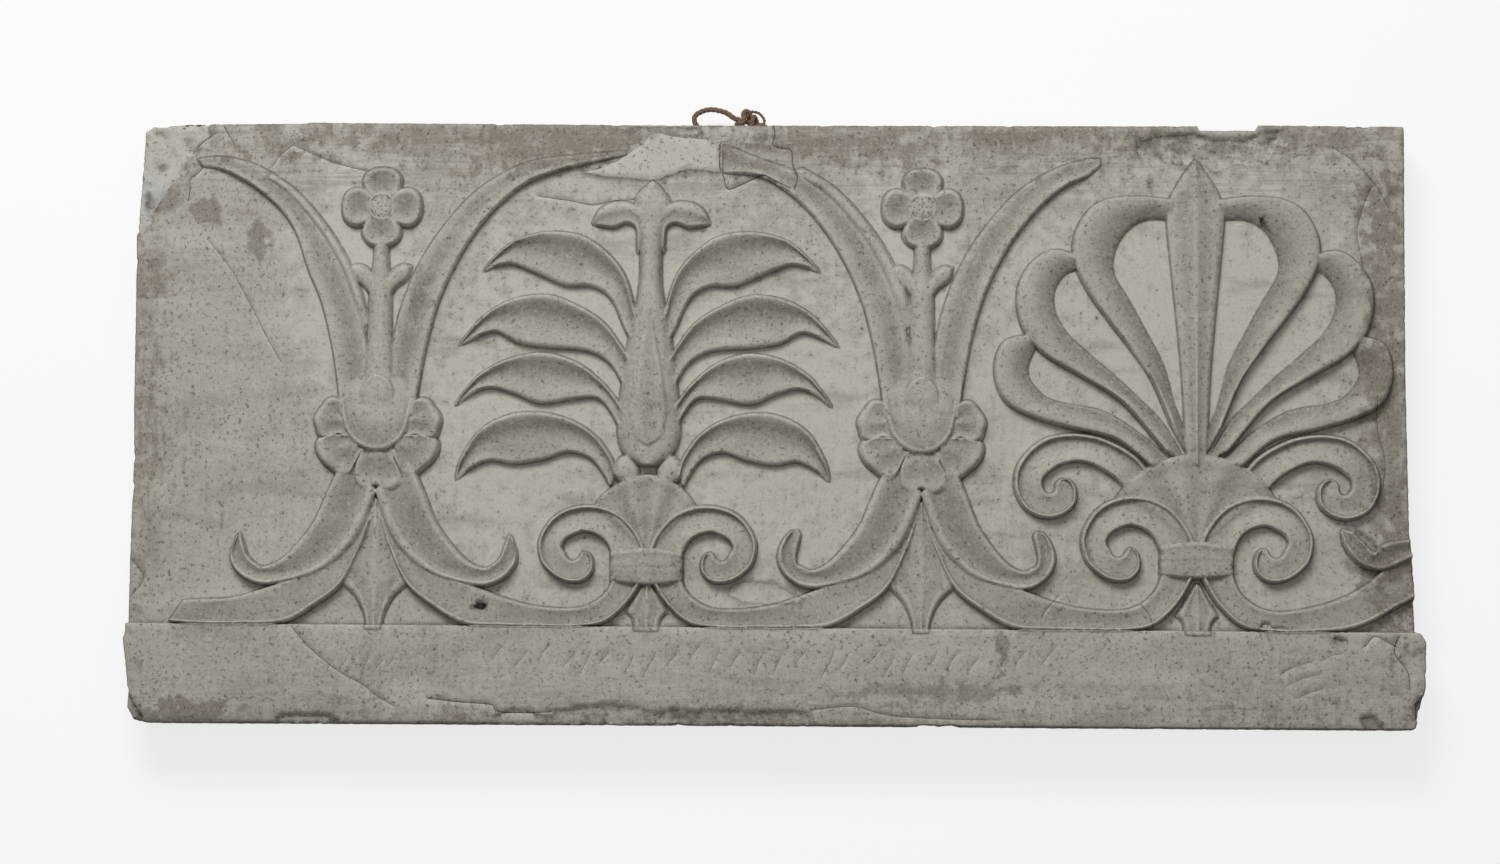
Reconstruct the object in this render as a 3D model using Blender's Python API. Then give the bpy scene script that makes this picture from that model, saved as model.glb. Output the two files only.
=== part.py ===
"""An old plaster cast of a bas-relief frieze: two lotus flowers, a leafy plant and a palmette,
joined by scrolls, above a plain band, with a rope loop in its top edge.

The flat back lies at y = 0 and the carved face looks towards -Y. The origin is the middle of the
back, where the cast meets a wall. Lengths are in metres.

The carving is drawn for a field 458 mm high, as millimetres from a motif's own axis and upwards
from the band's ledge, and its heights as millimetres above the ground of the field. The drawing
grows and shrinks with the field's height, and the panel's width crops it.
"""

import math

import bmesh
import bpy
import numpy as np
from mathutils import Vector
from mathutils.bvhtree import BVHTree
from mathutils.geometry import delaunay_2d_cdt

MM = 0.001

# The panel.
PANEL_WIDTH = 1150 * MM
FIELD_HEIGHT = 458 * MM
BAND_HEIGHT = 89 * MM
SLAB_THICKNESS = 45 * MM
BAND_PROJECTION = 12 * MM
ARRIS = 5 * MM
ARRIS_SLOPE = 0.6

# The drawing of the carving, in the drawing's own millimetres, and the size of one of those.
DRAWN_FIELD = 458
UNIT = FIELD_HEIGHT / DRAWN_FIELD
PITCH = 246
RUN_SHIFT = 17.6
FIRST_AXIS = RUN_SHIFT - 1.5 * PITCH

# How finely the drawing is turned into folds: the run of a steep side, how far a form may lie
# under another and still show, the spacing of stations, how far a fold may leave its curve, the
# steps of a curve between two rungs, the spacing along the panel's edge, the closest two points
# may be and how far off the carving is looked at from.
FOOT_SPREAD = 0.9
COVERED = 0.4
STATION = 6
FOLD_TOLERANCE = 0.9
DENSE = 12
EDGE_SPACING = 60
CLOSEST = 0.02
FAR = 1000

# The rope loop and its knot, from the panel's middle and up from its top edge.
ROPE_DIAMETER = 5 * MM
ROPE_INSET = 14 * MM
LOOP_LEFT = -65 * MM
LOOP_TOP = 20.5 * MM
LOOP_ROUTE = ((-0.12, 0.45), (-0.09, 0.75), (0.28, 1), (0.74, 0.88), (1, 0.6))
LOOP_POINTS = 12
KNOT_CENTRE = -14 * MM
KNOT_WIDTH = 30 * MM
KNOT_HEIGHT = 19 * MM
KNOT_DEPTH = 17 * MM
GAP = 0.3 * MM

PANEL_TOP = (FIELD_HEIGHT + BAND_HEIGHT) / 2
LEDGE_Z = PANEL_TOP - FIELD_HEIGHT
GROUND_Y = -SLAB_THICKNESS

# Sections across a carved strip: how far across, and how high.
LEAF_SECTION = ((0, 9), (0.36, 4.5), (1, 8))
PETAL_SECTION = ((0, 3), (0.75, 6), (1, 7))
FILLET_SECTION = ((0, 4), (1, 6))
HOOK_SECTION = ((0, 7), (0.4, 5), (1, 10))
CUP_RINGS = ((1, 11), (0.6, 14), (0, 13))
SCROLL_SECTION = ((0, 10.5), (0.3, 6), (1, 8.5))
LOBE_SECTION = ((0, 8), (0.18, 9.5), (1, 4.5))
RIDGE_SECTION = ((0, 6), (0.5, 11), (1, 6))
ROUND_SECTION = ((0, 7), (0.3, 12), (0.7, 12), (1, 7))
STEM_SECTION = ((0, 5), (0.5, 8.5), (1, 5))
TIE_SECTION = ((0, 11), (0.5, 12.5), (1, 11))
FAN_APEX_HEIGHT = 4.5
FAN_SECTION = (4, 8.5, 6, 10, 7, 10, 6, 8.5, 4)
CUP_TOP = (190, 228)
CUP_LOWERED = 0.3

# The two long shallow chips in the top edge, from the panel's left and right ends.
LEFT_CHIP = (152, 154)
RIGHT_CHIP = (186, 184, 134, 131)
CHIP_DEPTH = 4

# Rungs across each carved strip: x and z on one edge, then x and z on the other.
LEAVES = (
    ((153, 323, 153, 323), (140, 337, 142, 328), (122, 351, 126, 330), (93, 358, 104, 322),
     (62, 354, 78, 311), (38, 337, 53, 310), (23, 316, 35, 298), (14, 285, 22, 270), (8, 262, 14, 255)),
    ((172, 255, 172, 255), (160, 270, 155, 264), (145, 285, 138, 268), (121, 297, 118, 258),
     (92, 300, 92, 254), (63, 289, 62, 252), (42, 275, 44, 246), (28, 257, 31, 234), (16, 238, 20, 212)),
    ((171, 200, 171, 200), (160, 215, 156, 212), (146, 230, 139, 217), (120, 243, 119, 212),
     (92, 247, 95, 203), (65, 239, 68, 207), (45, 224, 46, 208), (31, 208, 33, 195), (18, 188, 22, 172)),
    ((168, 133, 168, 133), (164, 150, 155, 144), (148, 176, 138, 151), (124, 190, 117, 148),
     (96, 193, 92, 152), (68, 186, 70, 159), (47, 172, 50, 153), (33, 153, 38, 138), (29, 138, 33, 128)),
)
LEAF_REACH = {-1: (0.995, 1.005, 1.03, 1.035), 1: (1.0, 0.99, 0.965, 0.97)}
PETAL = ((9, 205, 33, 190), (11, 240, 38, 228), (16, 272, 45, 264), (25, 303, 54, 296), (40, 336, 67, 326),
         (61, 367, 84, 355), (88, 396, 106, 382), (118, 415, 130, 402), (146, 425, 151, 412))
PETALS = {
    "left": PETAL[:5] + ((62, 367, 77, 355), (86, 399, 91, 377), (111, 416, 113, 397), (133, 424, 136, 411),
                         (153, 427, 154, 418), (172, 425, 168, 420)),
    "long": PETAL + ((190, 430, 188, 423), (226, 433, 226, 431)),
    "broken": PETAL + ((182, 439, 182, 415),),
    "right": PETAL + ((163, 427, 163, 422),),
}
HOOK = ((30, 150, 0, 122), (43, 120, 9, 97), (54, 94, 19, 77), (69, 73, 34, 60), (84, 58, 52, 48),
        (98, 52, 74, 41), (107, 55, 96, 37))
HOOK_TIPS = {"sharp": ((114, 62, 112, 41), (117, 70, 123, 50), (119, 76, 128, 62), (121, 82, 123, 80)),
             "blunt": ((112, 58, 112, 41), (113, 66, 124, 52), (111, 76, 128, 65), (109, 84, 124, 78),
                       (111, 88, 117, 87))}
SCROLL = ((246, 114, 246, 114), (239, 90, 233, 96), (231, 68, 219, 75), (216, 38, 199, 55),
          (193, 19, 176, 43), (164, 3, 152, 34), (130, 1, 128, 25), (98, 1, 100, 18), (66, 1, 71, 16),
          (39, 5, 53, 19), (20, 20, 38, 29), (7, 39, 31, 41), (1, 56, 29, 54), (3, 73, 31, 66),
          (12, 89, 36, 77), (26, 102, 45, 84), (47, 109, 57, 87), (69, 107, 67, 84), (86, 97, 75, 79),
          (97, 78, 78, 72), (95, 60, 75, 66), (87, 50, 73, 62), (76, 43, 70, 59.5), (65, 41, 66.5, 59),
          (56.5, 43, 63.5, 60), (50.5, 49, 61, 62), (49, 56, 59.5, 64.5), (50.5, 62.5, 58, 66.3),
          (54, 66.5, 56.5, 67))
BROKEN_END = (61, 3, 73, 21)
CUT_END = ((196, 34, 192, 70), (172, 21, 172, 61), (151, 10, 151, 43), (128, 3, 130, 31), (96, 1, 103, 22))
PALMETTE_LIFT = 1.1
PALMETTE_TIE_RISE = 9
LOBE_REACH = {-1: (1.0, 1.01, 1.03), 1: (1.01, 1.0, 1.0)}
LIFT_FROM = 110
LIFT_OVER = 40
LOBES = (
    ((20, 389, 20, 373), (50, 392, 45, 373), (76, 390, 62, 363), (95, 380, 73, 345), (108, 357, 75, 323),
     (108, 332, 60, 296), (96, 306, 45, 268), (80, 283, 30, 238), (60, 257, 22, 208), (40, 228, 14, 185),
     (22, 186, 8, 160)),
    ((104, 338, 104, 328), (126, 343, 118, 322), (144, 333, 127, 306), (156, 314, 126, 287),
     (158, 292, 115, 267), (151, 268, 95, 248), (134, 249, 72, 228), (104, 231, 50, 207), (66, 207, 30, 186),
     (28, 163, 12, 155)),
    ((146, 266, 140, 256), (166, 260, 147, 240), (174, 243, 146, 226), (173, 222, 134, 211),
     (163, 204, 118, 204), (140, 192, 94, 200), (110, 183, 76, 194), (70, 173, 50, 177), (40, 149, 24, 154)),
)
CENTRAL_PETAL = ((0, 426), (-8, 415), (-14.5, 405), (-21, 393), (-24.5, 380), (-24.5, 366), (-20, 320),
                 (-15, 270), (-11, 220), (-8, 150))
SMALL_SCROLL = ((38, 136, 56, 120), (55, 156, 72, 138), (82, 171, 90, 149), (108, 176, 105, 153),
                (132, 173, 121, 150), (149, 162, 131, 144), (160, 146, 138, 137), (162, 128, 139, 131),
                (155, 112, 137.5, 126), (144, 104, 133.5, 122.3), (131, 101.5, 129.5, 122),
                (119, 105, 126.5, 124), (110, 113, 125.3, 127.5), (108, 122, 125.2, 130.5),
                (109.5, 130, 123.5, 133.5), (114.5, 134.8, 121.5, 135), (119, 135.6, 120, 135.5))
HALF_HOOK = ((195, 84, 195, 70), (173, 81, 180, 63), (163, 77, 166, 57), (157, 71, 150, 59),
             (149, 79, 139, 67), (139, 89, 131, 79), (130, 92, 129, 90))
SPINDLE = ((-10, 366), (-9, 315), (-15, 280), (-20, 252), (-24, 222), (-27, 190), (-27, 172), (-21, 156),
           (-8, 147))
LANCET = ((0, 292), (-6, 260), (-13, 222), (-16, 192), (-11, 172), (0, 163))
LEAFLET = ((2, 352, 12, 340), (6, 374, 13, 362), (19, 385, 22, 368), (34, 386, 34, 364), (46, 380, 44, 365),
           (53, 368, 52, 366))
BUD = ((1, 406), (-9, 397), (-14, 388), (-10, 372), (1, 362), (11, 372), (17, 385), (10, 397))
SIDE_BUD = ((18, 156), (9, 142), (12, 131), (24, 131), (31, 140), (26, 152))
FAN_RIM = ((-52, 104), (-38, 121), (-20, 132), (0, 137), (19, 132), (34, 121), (46, 104))
FAN_APEX = (0, 66)
PALMETTE_FAN_RIM = ((-74, 116), (-56, 137), (-31, 152), (0, 159), (31, 152), (54, 139), (72, 116))
TIE = ((-32, 42, -32, 67), (-15, 40, -15, 70), (0, 39, 0, 71), (15, 40, 15, 70), (31, 42, 31, 67))
KITE = ((-2, 114), (-16, 76), (-34, 40))
KITE_FOOT = ((-31, 40), (-17, 27), (-9, 12), (-6, -2))
SMALL_KITE = ((-1, 42), (-8, 30), (-18, 14))
SMALL_KITE_FOOT = ((-17, 14), (-12, 8), (-10, -2))
BELL = ((-34, 229), (-35, 214), (-32.5, 194), (-26, 173), (-13, 161), (0, 158), (13, 161), (25, 173),
        (30.5, 194), (33, 214), (32, 229))
TONGUE = ((-15, 205), (-13, 216), (-7, 224), (0, 227), (7, 224), (13, 216), (14, 205), (0, 196))
FLOWER_STEM = ((-6, 352), (-6, 332), (-9, 305), (-10, 265), (-12, 222))
STEM_LEAF = ((5, 308, 8, 300), (10, 322, 15, 309), (19, 328, 24, 316), (27, 327, 27, 325))
UPPER_LOBE = ((-30, 199), (-35, 204), (-40, 206), (-46, 204.5), (-50, 199.5), (-55.5, 192), (-57.5, 185),
              (-55.5, 179), (-54.5, 173.5), (-51, 170), (-46, 169.5), (-41, 172), (-33, 172), (-25, 170))
LOWER_LOBE = ((-25, 172), (-34, 172), (-41, 173), (-47, 170.5), (-53, 169), (-55.5, 164), (-54.5, 156.5),
              (-49, 148), (-42.5, 142.5), (-36, 137), (-29.5, 135), (-24, 137), (-20, 144.5), (-16.5, 151.5),
              (-14, 160))
FOOT_LOBE = ((-14, 160), (-16.5, 152), (-18.5, 146), (-19.5, 137), (-18, 128.5), (-13.5, 124), (-7, 123),
             (0, 126.5), (7, 122.5), (14, 122.5), (20, 126), (23, 133), (21.5, 140), (17.5, 146.5),
             (16, 152), (14, 160))
CROWN = ((UPPER_LOBE, (-26, 186), 1), (UPPER_LOBE, (-26, 186), -1), (LOWER_LOBE, (-18, 166), 1),
         (LOWER_LOBE, (-18, 166), -1), (FOOT_LOBE, (0, 156), 1))
FLOWER_LOBE = ((0, 0.27), (0.3, 0.46), (0.65, 0.50), (0.92, 0.32), (1, 0), (0.92, -0.32), (0.65, -0.50),
               (0.3, -0.46), (0, -0.27))
FLOWER_AT = (0, 381)
FLOWER_PETAL = (8, 36, 34)
FLOWER_EYE = 13


def along(points, stations=None):
    """A smooth curve through the points, as evenly spaced stations."""
    known = np.array(points, float)
    padded = np.vstack([2 * known[0] - known[1], known, 2 * known[-1] - known[-2]])
    dense = []
    for before, start, end, after in zip(padded, padded[1:], padded[2:], padded[3:]):
        for t in np.linspace(0, 1, DENSE, endpoint=False):
            bend = 2 * before - 5 * start + 4 * end - after
            twist = 3 * start - before - 3 * end + after
            dense.append(start + ((end - before) * t + bend * t * t + twist * t ** 3) / 2)
    dense.append(known[-1])
    dense = np.array(dense)
    steps = np.linalg.norm(np.diff(dense, axis=0), axis=1)
    run = np.concatenate([[0], np.cumsum(steps)])
    if stations is None:
        stations = max(4, math.ceil(run[-1] / STATION) + 1)
    places = np.linspace(0, run[-1], stations)
    return np.stack([np.interp(places, run, column) for column in dense.T], axis=1)


def strip(rungs, section, starts=1.0, ends=1.0, fade=0.12):
    """Rows of (x, z, height) along a strip, from its first edge to its second."""
    rungs = along(rungs)
    share = np.linspace(0, 1, len(rungs))
    swell = np.interp(share, (0, fade, 1 - fade, 1), (starts, 1, 1, ends))
    rows = []
    for across, height in section:
        place = rungs[:, :2] * (1 - across) + rungs[:, 2:] * across
        rows.append(np.column_stack([place, height * swell]))
    return {"rows": rows, "closed": False}


def mirrored(edge):
    """Rungs of a strip that is the same on both sides of its axis, from its left edge."""
    return [(x, z, -x, z) for x, z in edge]


def boss(outline, section, centre=None):
    """Rings of (x, z, height) from a raised form's outline in to its centre."""
    loop = along(list(outline) + [outline[0]])[:-1]
    middle = loop.mean(axis=0) if centre is None else np.array(centre, float)
    rows = []
    for reach, height in section:
        ring = middle + (loop - middle) * reach
        rows.append(np.column_stack([ring, np.full(len(ring), height)]))
    return {"rows": rows, "closed": True}


def fan(rim, apex):
    """Rays of (x, z, height) from a fan's apex out to its rim, with hollow flutes."""
    edge = along(rim, len(FAN_SECTION))
    tip = np.array(apex, float)
    rows = []
    for place, height in zip(edge, FAN_SECTION):
        share = np.linspace(0, 1, 4)[:, None]
        level = FAN_APEX_HEIGHT + (height - FAN_APEX_HEIGHT) * share
        rows.append(np.hstack([tip + (place - tip) * share, level]))
    return {"rows": rows, "closed": False}


def placed(form, axis=0.0, side=1, reach=1.0):
    """The same form on a motif's axis, on its right side, or mirrored to its left."""
    rows = [np.column_stack([axis + row[:, 0] * side * reach, row[:, 1:]]) for row in form["rows"]]
    return {"rows": rows, "closed": form["closed"]}


def lobe_outline(shape, x, z, angle, length, width):
    """The outline of a small lobe or petal that grows from its root at an angle."""
    turn = math.radians(angle)
    cos, sin = math.cos(turn), math.sin(turn)
    outline = []
    for out, wide in shape:
        forward, across = out * length, wide * width
        outline.append((x + forward * cos - across * sin, z + forward * sin + across * cos))
    return outline


def petal(axis, side, tip, reach=1.0):
    """A long arching petal of the lotus, ending in one of its tips."""
    return placed(strip(PETALS[tip], PETAL_SECTION, ends=0.5), axis, side, reach)


def fillet(axis, side, width):
    """The thin roll of a width beside a petal, towards the flower."""
    rungs = [(a - width, b + width / 3, a, b) for a, b, c, d in PETAL[2:8]]
    return placed(strip(rungs, FILLET_SECTION, starts=0.4, ends=0.4), axis, side)


def flower(axis):
    """The four-petalled flower on its stem, with two small leaves."""
    x, z = FLOWER_AT
    root, length, width = FLOWER_PETAL
    forms = []
    for angle in (0, 90, 180, 270):
        turn = math.radians(angle)
        foot = (x + root * math.cos(turn), z + root * math.sin(turn))
        outline = lobe_outline(FLOWER_LOBE, *foot, angle, length - root, width)
        forms.append(boss(outline, ((1, 5), (0.7, 8), (0, 5.5))))
    turns = np.radians(range(0, 360, 36))
    ring = [(x + FLOWER_EYE * math.cos(turn), z + FLOWER_EYE * math.sin(turn)) for turn in turns]
    forms.append(boss(ring, ((1, 8), (0.75, 9.5), (0, 8.5))))
    forms.append(strip(mirrored(FLOWER_STEM), STEM_SECTION))
    leaf = strip(STEM_LEAF, ((0, 5), (0.5, 7), (1, 5)), ends=0.3)
    forms.append(leaf)
    forms.append(placed(leaf, side=-1))
    return [placed(form, axis) for form in forms]


def cup(axis):
    """The round cup that holds the petals, lowered at its top where they rise from it."""
    form = boss(BELL, CUP_RINGS, (0, 205))
    for row in form["rows"]:
        row[:, 2] *= np.interp(row[:, 1], CUP_TOP, (1, CUP_LOWERED))
    return placed(form, axis)


def crown(axis):
    """The five lobes round the foot of the lotus cup."""
    section = ((1, 6), (0.8, 9.5), (0, 9))
    return [placed(boss(outline, section, root), axis, side) for outline, root, side in CROWN]


def lotus(axis, tips, hooks, roll):
    """A lotus: petals, flower, cup, crown, the two hooked leaves under it and its pendant."""
    forms = [petal(axis, -1, tips[0], 0.99), petal(axis, 1, tips[1], 0.98), fillet(axis, -1, roll)]
    forms += flower(axis)
    forms.append(cup(axis))
    forms.append(placed(boss(TONGUE, ((1, 13), (0.6, 16), (0, 17))), axis))
    forms += crown(axis)
    for side, (tip, reach) in zip((-1, 1), hooks):
        forms.append(placed(strip(HOOK + HOOK_TIPS[tip], HOOK_SECTION, ends=0.6), axis, side, reach))
    forms.append(pendant(axis, KITE, KITE_FOOT))
    return forms


def pendant(axis, sides, foot):
    """The ridged pendant between two scrolls, spreading to its shoulders and drawn in to the ledge."""
    upper = along(sides, 5)
    lower = along(foot, 5)
    edge = np.vstack([upper, lower])
    rows = []
    for across, height in ((0, 3.5), (0.5, 7.5), (1, 3.5)):
        x = edge[:, 0] * (1 - 2 * across)
        rows.append(np.column_stack([x, edge[:, 1], np.full(len(edge), height)]))
    return placed({"rows": rows, "closed": False}, axis)


def scroll_rungs(lift):
    """The scroll's rungs, stretched upwards by the lift where it curls beside the motif's axis."""
    rungs = []
    for x, z, u, w in SCROLL:
        near = min(max((LIFT_FROM + LIFT_OVER - x) / LIFT_OVER, 0), 1)
        grow = 1 + (lift - 1) * near
        widen = 1 + (lift - 1) * near / 2
        rungs.append((x * widen, z * grow, u * widen, w * grow))
    return rungs


def scrolls(axis, lift, far_end=SCROLL[:8]):
    """The two scrolls that rise from the lotus feet and curl inwards under a plant."""
    rungs = scroll_rungs(lift)
    left = strip(rungs, SCROLL_SECTION, starts=0.5)
    right = strip(list(far_end) + rungs[8:], SCROLL_SECTION, starts=0.5)
    return [placed(left, axis, -1), placed(right, axis, 1)]


def tie(axis, rise=0.0):
    """The band that ties two scrolls together, set higher by the rise."""
    rungs = [(x, z + rise, u, w + rise) for x, z, u, w in TIE]
    return placed(strip(rungs, TIE_SECTION, 0.86, 0.86), axis)


def plant(axis):
    """The plant: a swelling stem with four pairs of leaves and a bud."""
    forms = scrolls(axis, 1.0)
    forms += [placed(fan(FAN_RIM, FAN_APEX), axis), tie(axis)]
    for side in (-1, 1):
        for leaf, reach in zip(LEAVES, LEAF_REACH[side]):
            forms.append(placed(strip(leaf, LEAF_SECTION, starts=0.15, fade=0.1), axis, side, reach))
        forms.append(placed(strip(LEAFLET, ((0, 5), (0.3, 8), (1, 7)), 0.4, 0.4), axis, side))
        forms.append(placed(boss(SIDE_BUD, ((1, 5), (0.6, 9), (0, 10))), axis, side))
    forms.append(placed(strip(mirrored(SPINDLE), ROUND_SECTION), axis))
    forms.append(placed(strip(mirrored(LANCET), ((0, 12.5), (0.5, 17), (1, 12.5))), axis))
    forms.append(placed(boss(BUD, ((1, 5), (0.6, 9), (0, 10))), axis))
    forms.append(pendant(axis, SMALL_KITE, SMALL_KITE_FOOT))
    return forms


def palmette(axis):
    """The palmette: a ridged middle petal, three pairs of looped lobes and two small scrolls."""
    forms = scrolls(axis, PALMETTE_LIFT, CUT_END)
    forms.append(placed(fan(PALMETTE_FAN_RIM, (0, 74)), axis))
    forms.append(tie(axis, PALMETTE_TIE_RISE))
    for side in (-1, 1):
        for lobe, reach in zip(LOBES, LOBE_REACH[side]):
            forms.append(placed(strip(lobe, LOBE_SECTION, starts=0.8, fade=0.08), axis, side, reach))
        forms.append(placed(strip(SMALL_SCROLL, SCROLL_SECTION, 0.3), axis, side))
    forms.append(placed(strip(mirrored(CENTRAL_PETAL), RIDGE_SECTION, starts=0.4), axis))
    forms.append(placed(strip(HALF_HOOK, HOOK_SECTION, ends=0.6), axis))
    forms.append(pendant(axis, SMALL_KITE, SMALL_KITE_FOOT))
    return forms


def broken_scroll(axis):
    """What is left of the scroll at the left end, broken off short."""
    rungs = list(SCROLL[:6]) + [(120, 1, 119, 24), (88, 1, 92, 22), BROKEN_END]
    return placed(strip(rungs, SCROLL_SECTION, starts=0.5, ends=0.7), axis - PITCH)


def carving():
    """Every carved form, left to right."""
    first, second, third, fourth = (FIRST_AXIS + PITCH * n for n in range(4))
    forms = lotus(first, ("left", "long"), (("sharp", 1.02), ("sharp", 1.0)), 6)
    forms.append(broken_scroll(first))
    forms += plant(second)
    forms += lotus(third, ("broken", "right"), (("blunt", 1.0), ("blunt", 0.93)), 9)
    forms += palmette(fourth)
    return forms


def panel_outline():
    """The panel's edge, chipped and worn, as (x, z) from the panel's middle and the ledge."""
    left, right = -PANEL_WIDTH / 2 / UNIT, PANEL_WIDTH / 2 / UNIT
    top, bottom = DRAWN_FIELD, -BAND_HEIGHT / UNIT
    rope = LOOP_LEFT / UNIT
    return [
        (left + 3, top - 7), (left + 10, top - 2), (left + 22, top - 1), (left + 36, top),
        (left + LEFT_CHIP[0], top + 1), (left + LEFT_CHIP[1], top + 2), (rope - 20, top), (rope + 85, top),
        (right - RIGHT_CHIP[0], top), (right - RIGHT_CHIP[1], top - CHIP_DEPTH),
        (right - RIGHT_CHIP[2], top - CHIP_DEPTH), (right - RIGHT_CHIP[3], top + 1),
        (right - 1, top), (right, top - 2), (right - 1, top / 2), (right + 1, 83),
        (right + 4, 45), (right + 5, 2), (right + 9, -1), (right + 13, -8), (right + 12, bottom + 40),
        (right + 9, bottom + 30), (right + 3, bottom + 5), (right - 1, bottom + 3), (0, bottom + 2),
        (left + 18, bottom), (left + 9, bottom + 3), (left + 3, bottom + 14), (left + 3, bottom + 37),
        (left + 1, bottom + 53), (left - 2, -13), (left, -2), (left, 3), (left, 53), (left + 1, 153),
        (left, top * 0.4), (left - 2, top - 106),
    ]


def metres(points):
    """The drawing's x, z and height above the ground as metres of the panel."""
    scaled = np.array(points, float) * UNIT
    return [(x, GROUND_Y - height, z + LEDGE_Z) for x, z, height in scaled.tolist()]


def sheet_faces(form):
    """Triangles between the rows of a form."""
    rows = form["rows"]
    count = len(rows[0])
    last = count if form["closed"] else count - 1
    faces = []
    for row in range(len(rows) - 1):
        for i in range(last):
            j = (i + 1) % count
            a, b, c, d = row * count + i, row * count + j, (row + 1) * count + j, (row + 1) * count + i
            faces.append((a, b, c))
            faces.append((a, c, d))
    return faces


def edge_loop(form):
    """The closed outline of a form."""
    rows = form["rows"]
    if form["closed"]:
        return rows[0][:, :2]
    inner = rows[1:-1]
    end = np.array([row[-1, :2] for row in inner]).reshape(-1, 2)
    start = np.array([row[0, :2] for row in inner][::-1]).reshape(-1, 2)
    return np.vstack([rows[0][:, :2], end, rows[-1][::-1, :2], start])


def spread(loop, distance):
    """The loop moved outwards by a distance, with doubled points left out."""
    keep = [i for i in range(len(loop)) if np.linalg.norm(loop[i] - loop[i - 1]) > 0.05]
    loop = loop[keep]
    ahead, behind = np.roll(loop, -1, axis=0), np.roll(loop, 1, axis=0)
    area = np.sum(loop[:, 0] * ahead[:, 1] - ahead[:, 0] * loop[:, 1])
    out = np.zeros_like(loop)
    for a, b in ((behind, loop), (loop, ahead)):
        run = b - a
        run /= np.linalg.norm(run, axis=1)[:, None]
        out += np.column_stack([run[:, 1], -run[:, 0]]) * np.sign(area)
    size = np.maximum(np.linalg.norm(out, axis=1), 0.4)
    return loop + out / size[:, None] * distance


class Surface:
    """The carved face as the highest of all its forms, found by looking straight at it."""

    def __init__(self, forms):
        points, faces = [], []
        for form in forms:
            start = len(points)
            rows = np.vstack(form["rows"])
            points += [(x, -height, z) for x, z, height in rows.tolist()]
            faces += [tuple(start + i for i in face) for face in sheet_faces(form)]
        self.tree = BVHTree.FromPolygons(points, faces)

    def height(self, x, z):
        """How far the highest form stands above the ground at a point, or 0 where there is none."""
        best = 0.0
        for dx, dz in ((0, 0), (0.04, 0), (-0.04, 0), (0, 0.04), (0, -0.04)):
            hit = self.tree.ray_cast(Vector((x + dx, -FAR, z + dz)), Vector((0, 1, 0)))[0]
            if hit is not None:
                best = max(best, -hit.y)
        return best

    def shows(self, place):
        """Whether a point of a form, as x, z and height, is seen from in front."""
        x, z, own = place
        return self.height(x, z) < own + COVERED

    def last_shown(self, shown, hidden):
        """The furthest point that still shows, from a shown one towards a hidden one."""
        for _ in range(5):
            middle = (shown + hidden) / 2
            if self.shows(middle):
                shown = middle
            else:
                hidden = middle
        return shown


def thinned(line, closed):
    """The line with only the points that keep it within the fold tolerance."""
    line = np.array(line, float)
    if closed:
        line = np.vstack([line, line[:1]])
    keep = {0, len(line) - 1}
    spans = [(0, len(line) // 2), (len(line) // 2, len(line) - 1)]
    keep.add(len(line) // 2)
    while spans:
        first, last = spans.pop()
        if last - first < 2:
            continue
        run = line[last] - line[first]
        between = line[first + 1:last] - line[first]
        share = np.clip(between @ run / max(run @ run, 1e-9), 0, 1)
        away = np.linalg.norm(between - share[:, None] * run, axis=1)
        worst = int(away.argmax())
        if away[worst] > FOLD_TOLERANCE:
            split = first + 1 + worst
            keep.add(split)
            spans += [(first, split), (split, last)]
    return line[sorted(keep)]


def rails(forms, surface):
    """The lines that the face is folded along, each only where no higher form covers it."""
    lines = []
    for form in forms:
        peak = max(row[:, 2].max() for row in form["rows"])
        for row in form["rows"]:
            lines.append(thinned(row, form["closed"]))
        foot = [(x, z, peak) for x, z in spread(edge_loop(form), FOOT_SPREAD)]
        lines.append(thinned(foot, True))
    pieces = []
    for line in lines:
        seen = [surface.shows(place) for place in line]
        for a, b, near, far in zip(line, line[1:], seen, seen[1:]):
            if near and far:
                pieces.append((a, b))
            elif near:
                pieces.append((a, surface.last_shown(a, b)))
            elif far:
                pieces.append((surface.last_shown(b, a), b))
    points = {}
    edges = []
    for piece in pieces:
        a, b = (points.setdefault(tuple(place[:2].tolist()), len(points)) for place in piece)
        if a != b:
            edges.append((a, b))
    return list(points), edges


def inside(point, loop):
    """Whether a point lies inside a closed loop."""
    x, z = point
    odd = False
    for (ax, az), (bx, bz) in zip(loop, loop[1:] + loop[:1]):
        if (az > z) != (bz > z) and x < (bx - ax) * (z - az) / (bz - az) + ax:
            odd = not odd
    return odd


def dense_outline():
    """The panel's edge with points no further apart than the spacing, as drawn."""
    corners = panel_outline()
    loop = []
    for (ax, az), (bx, bz) in zip(corners, corners[1:] + corners[:1]):
        parts = max(1, math.ceil(math.hypot(bx - ax, bz - az) / EDGE_SPACING))
        loop += [(ax + (bx - ax) * i / parts, az + (bz - az) * i / parts) for i in range(parts)]
    return loop


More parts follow.
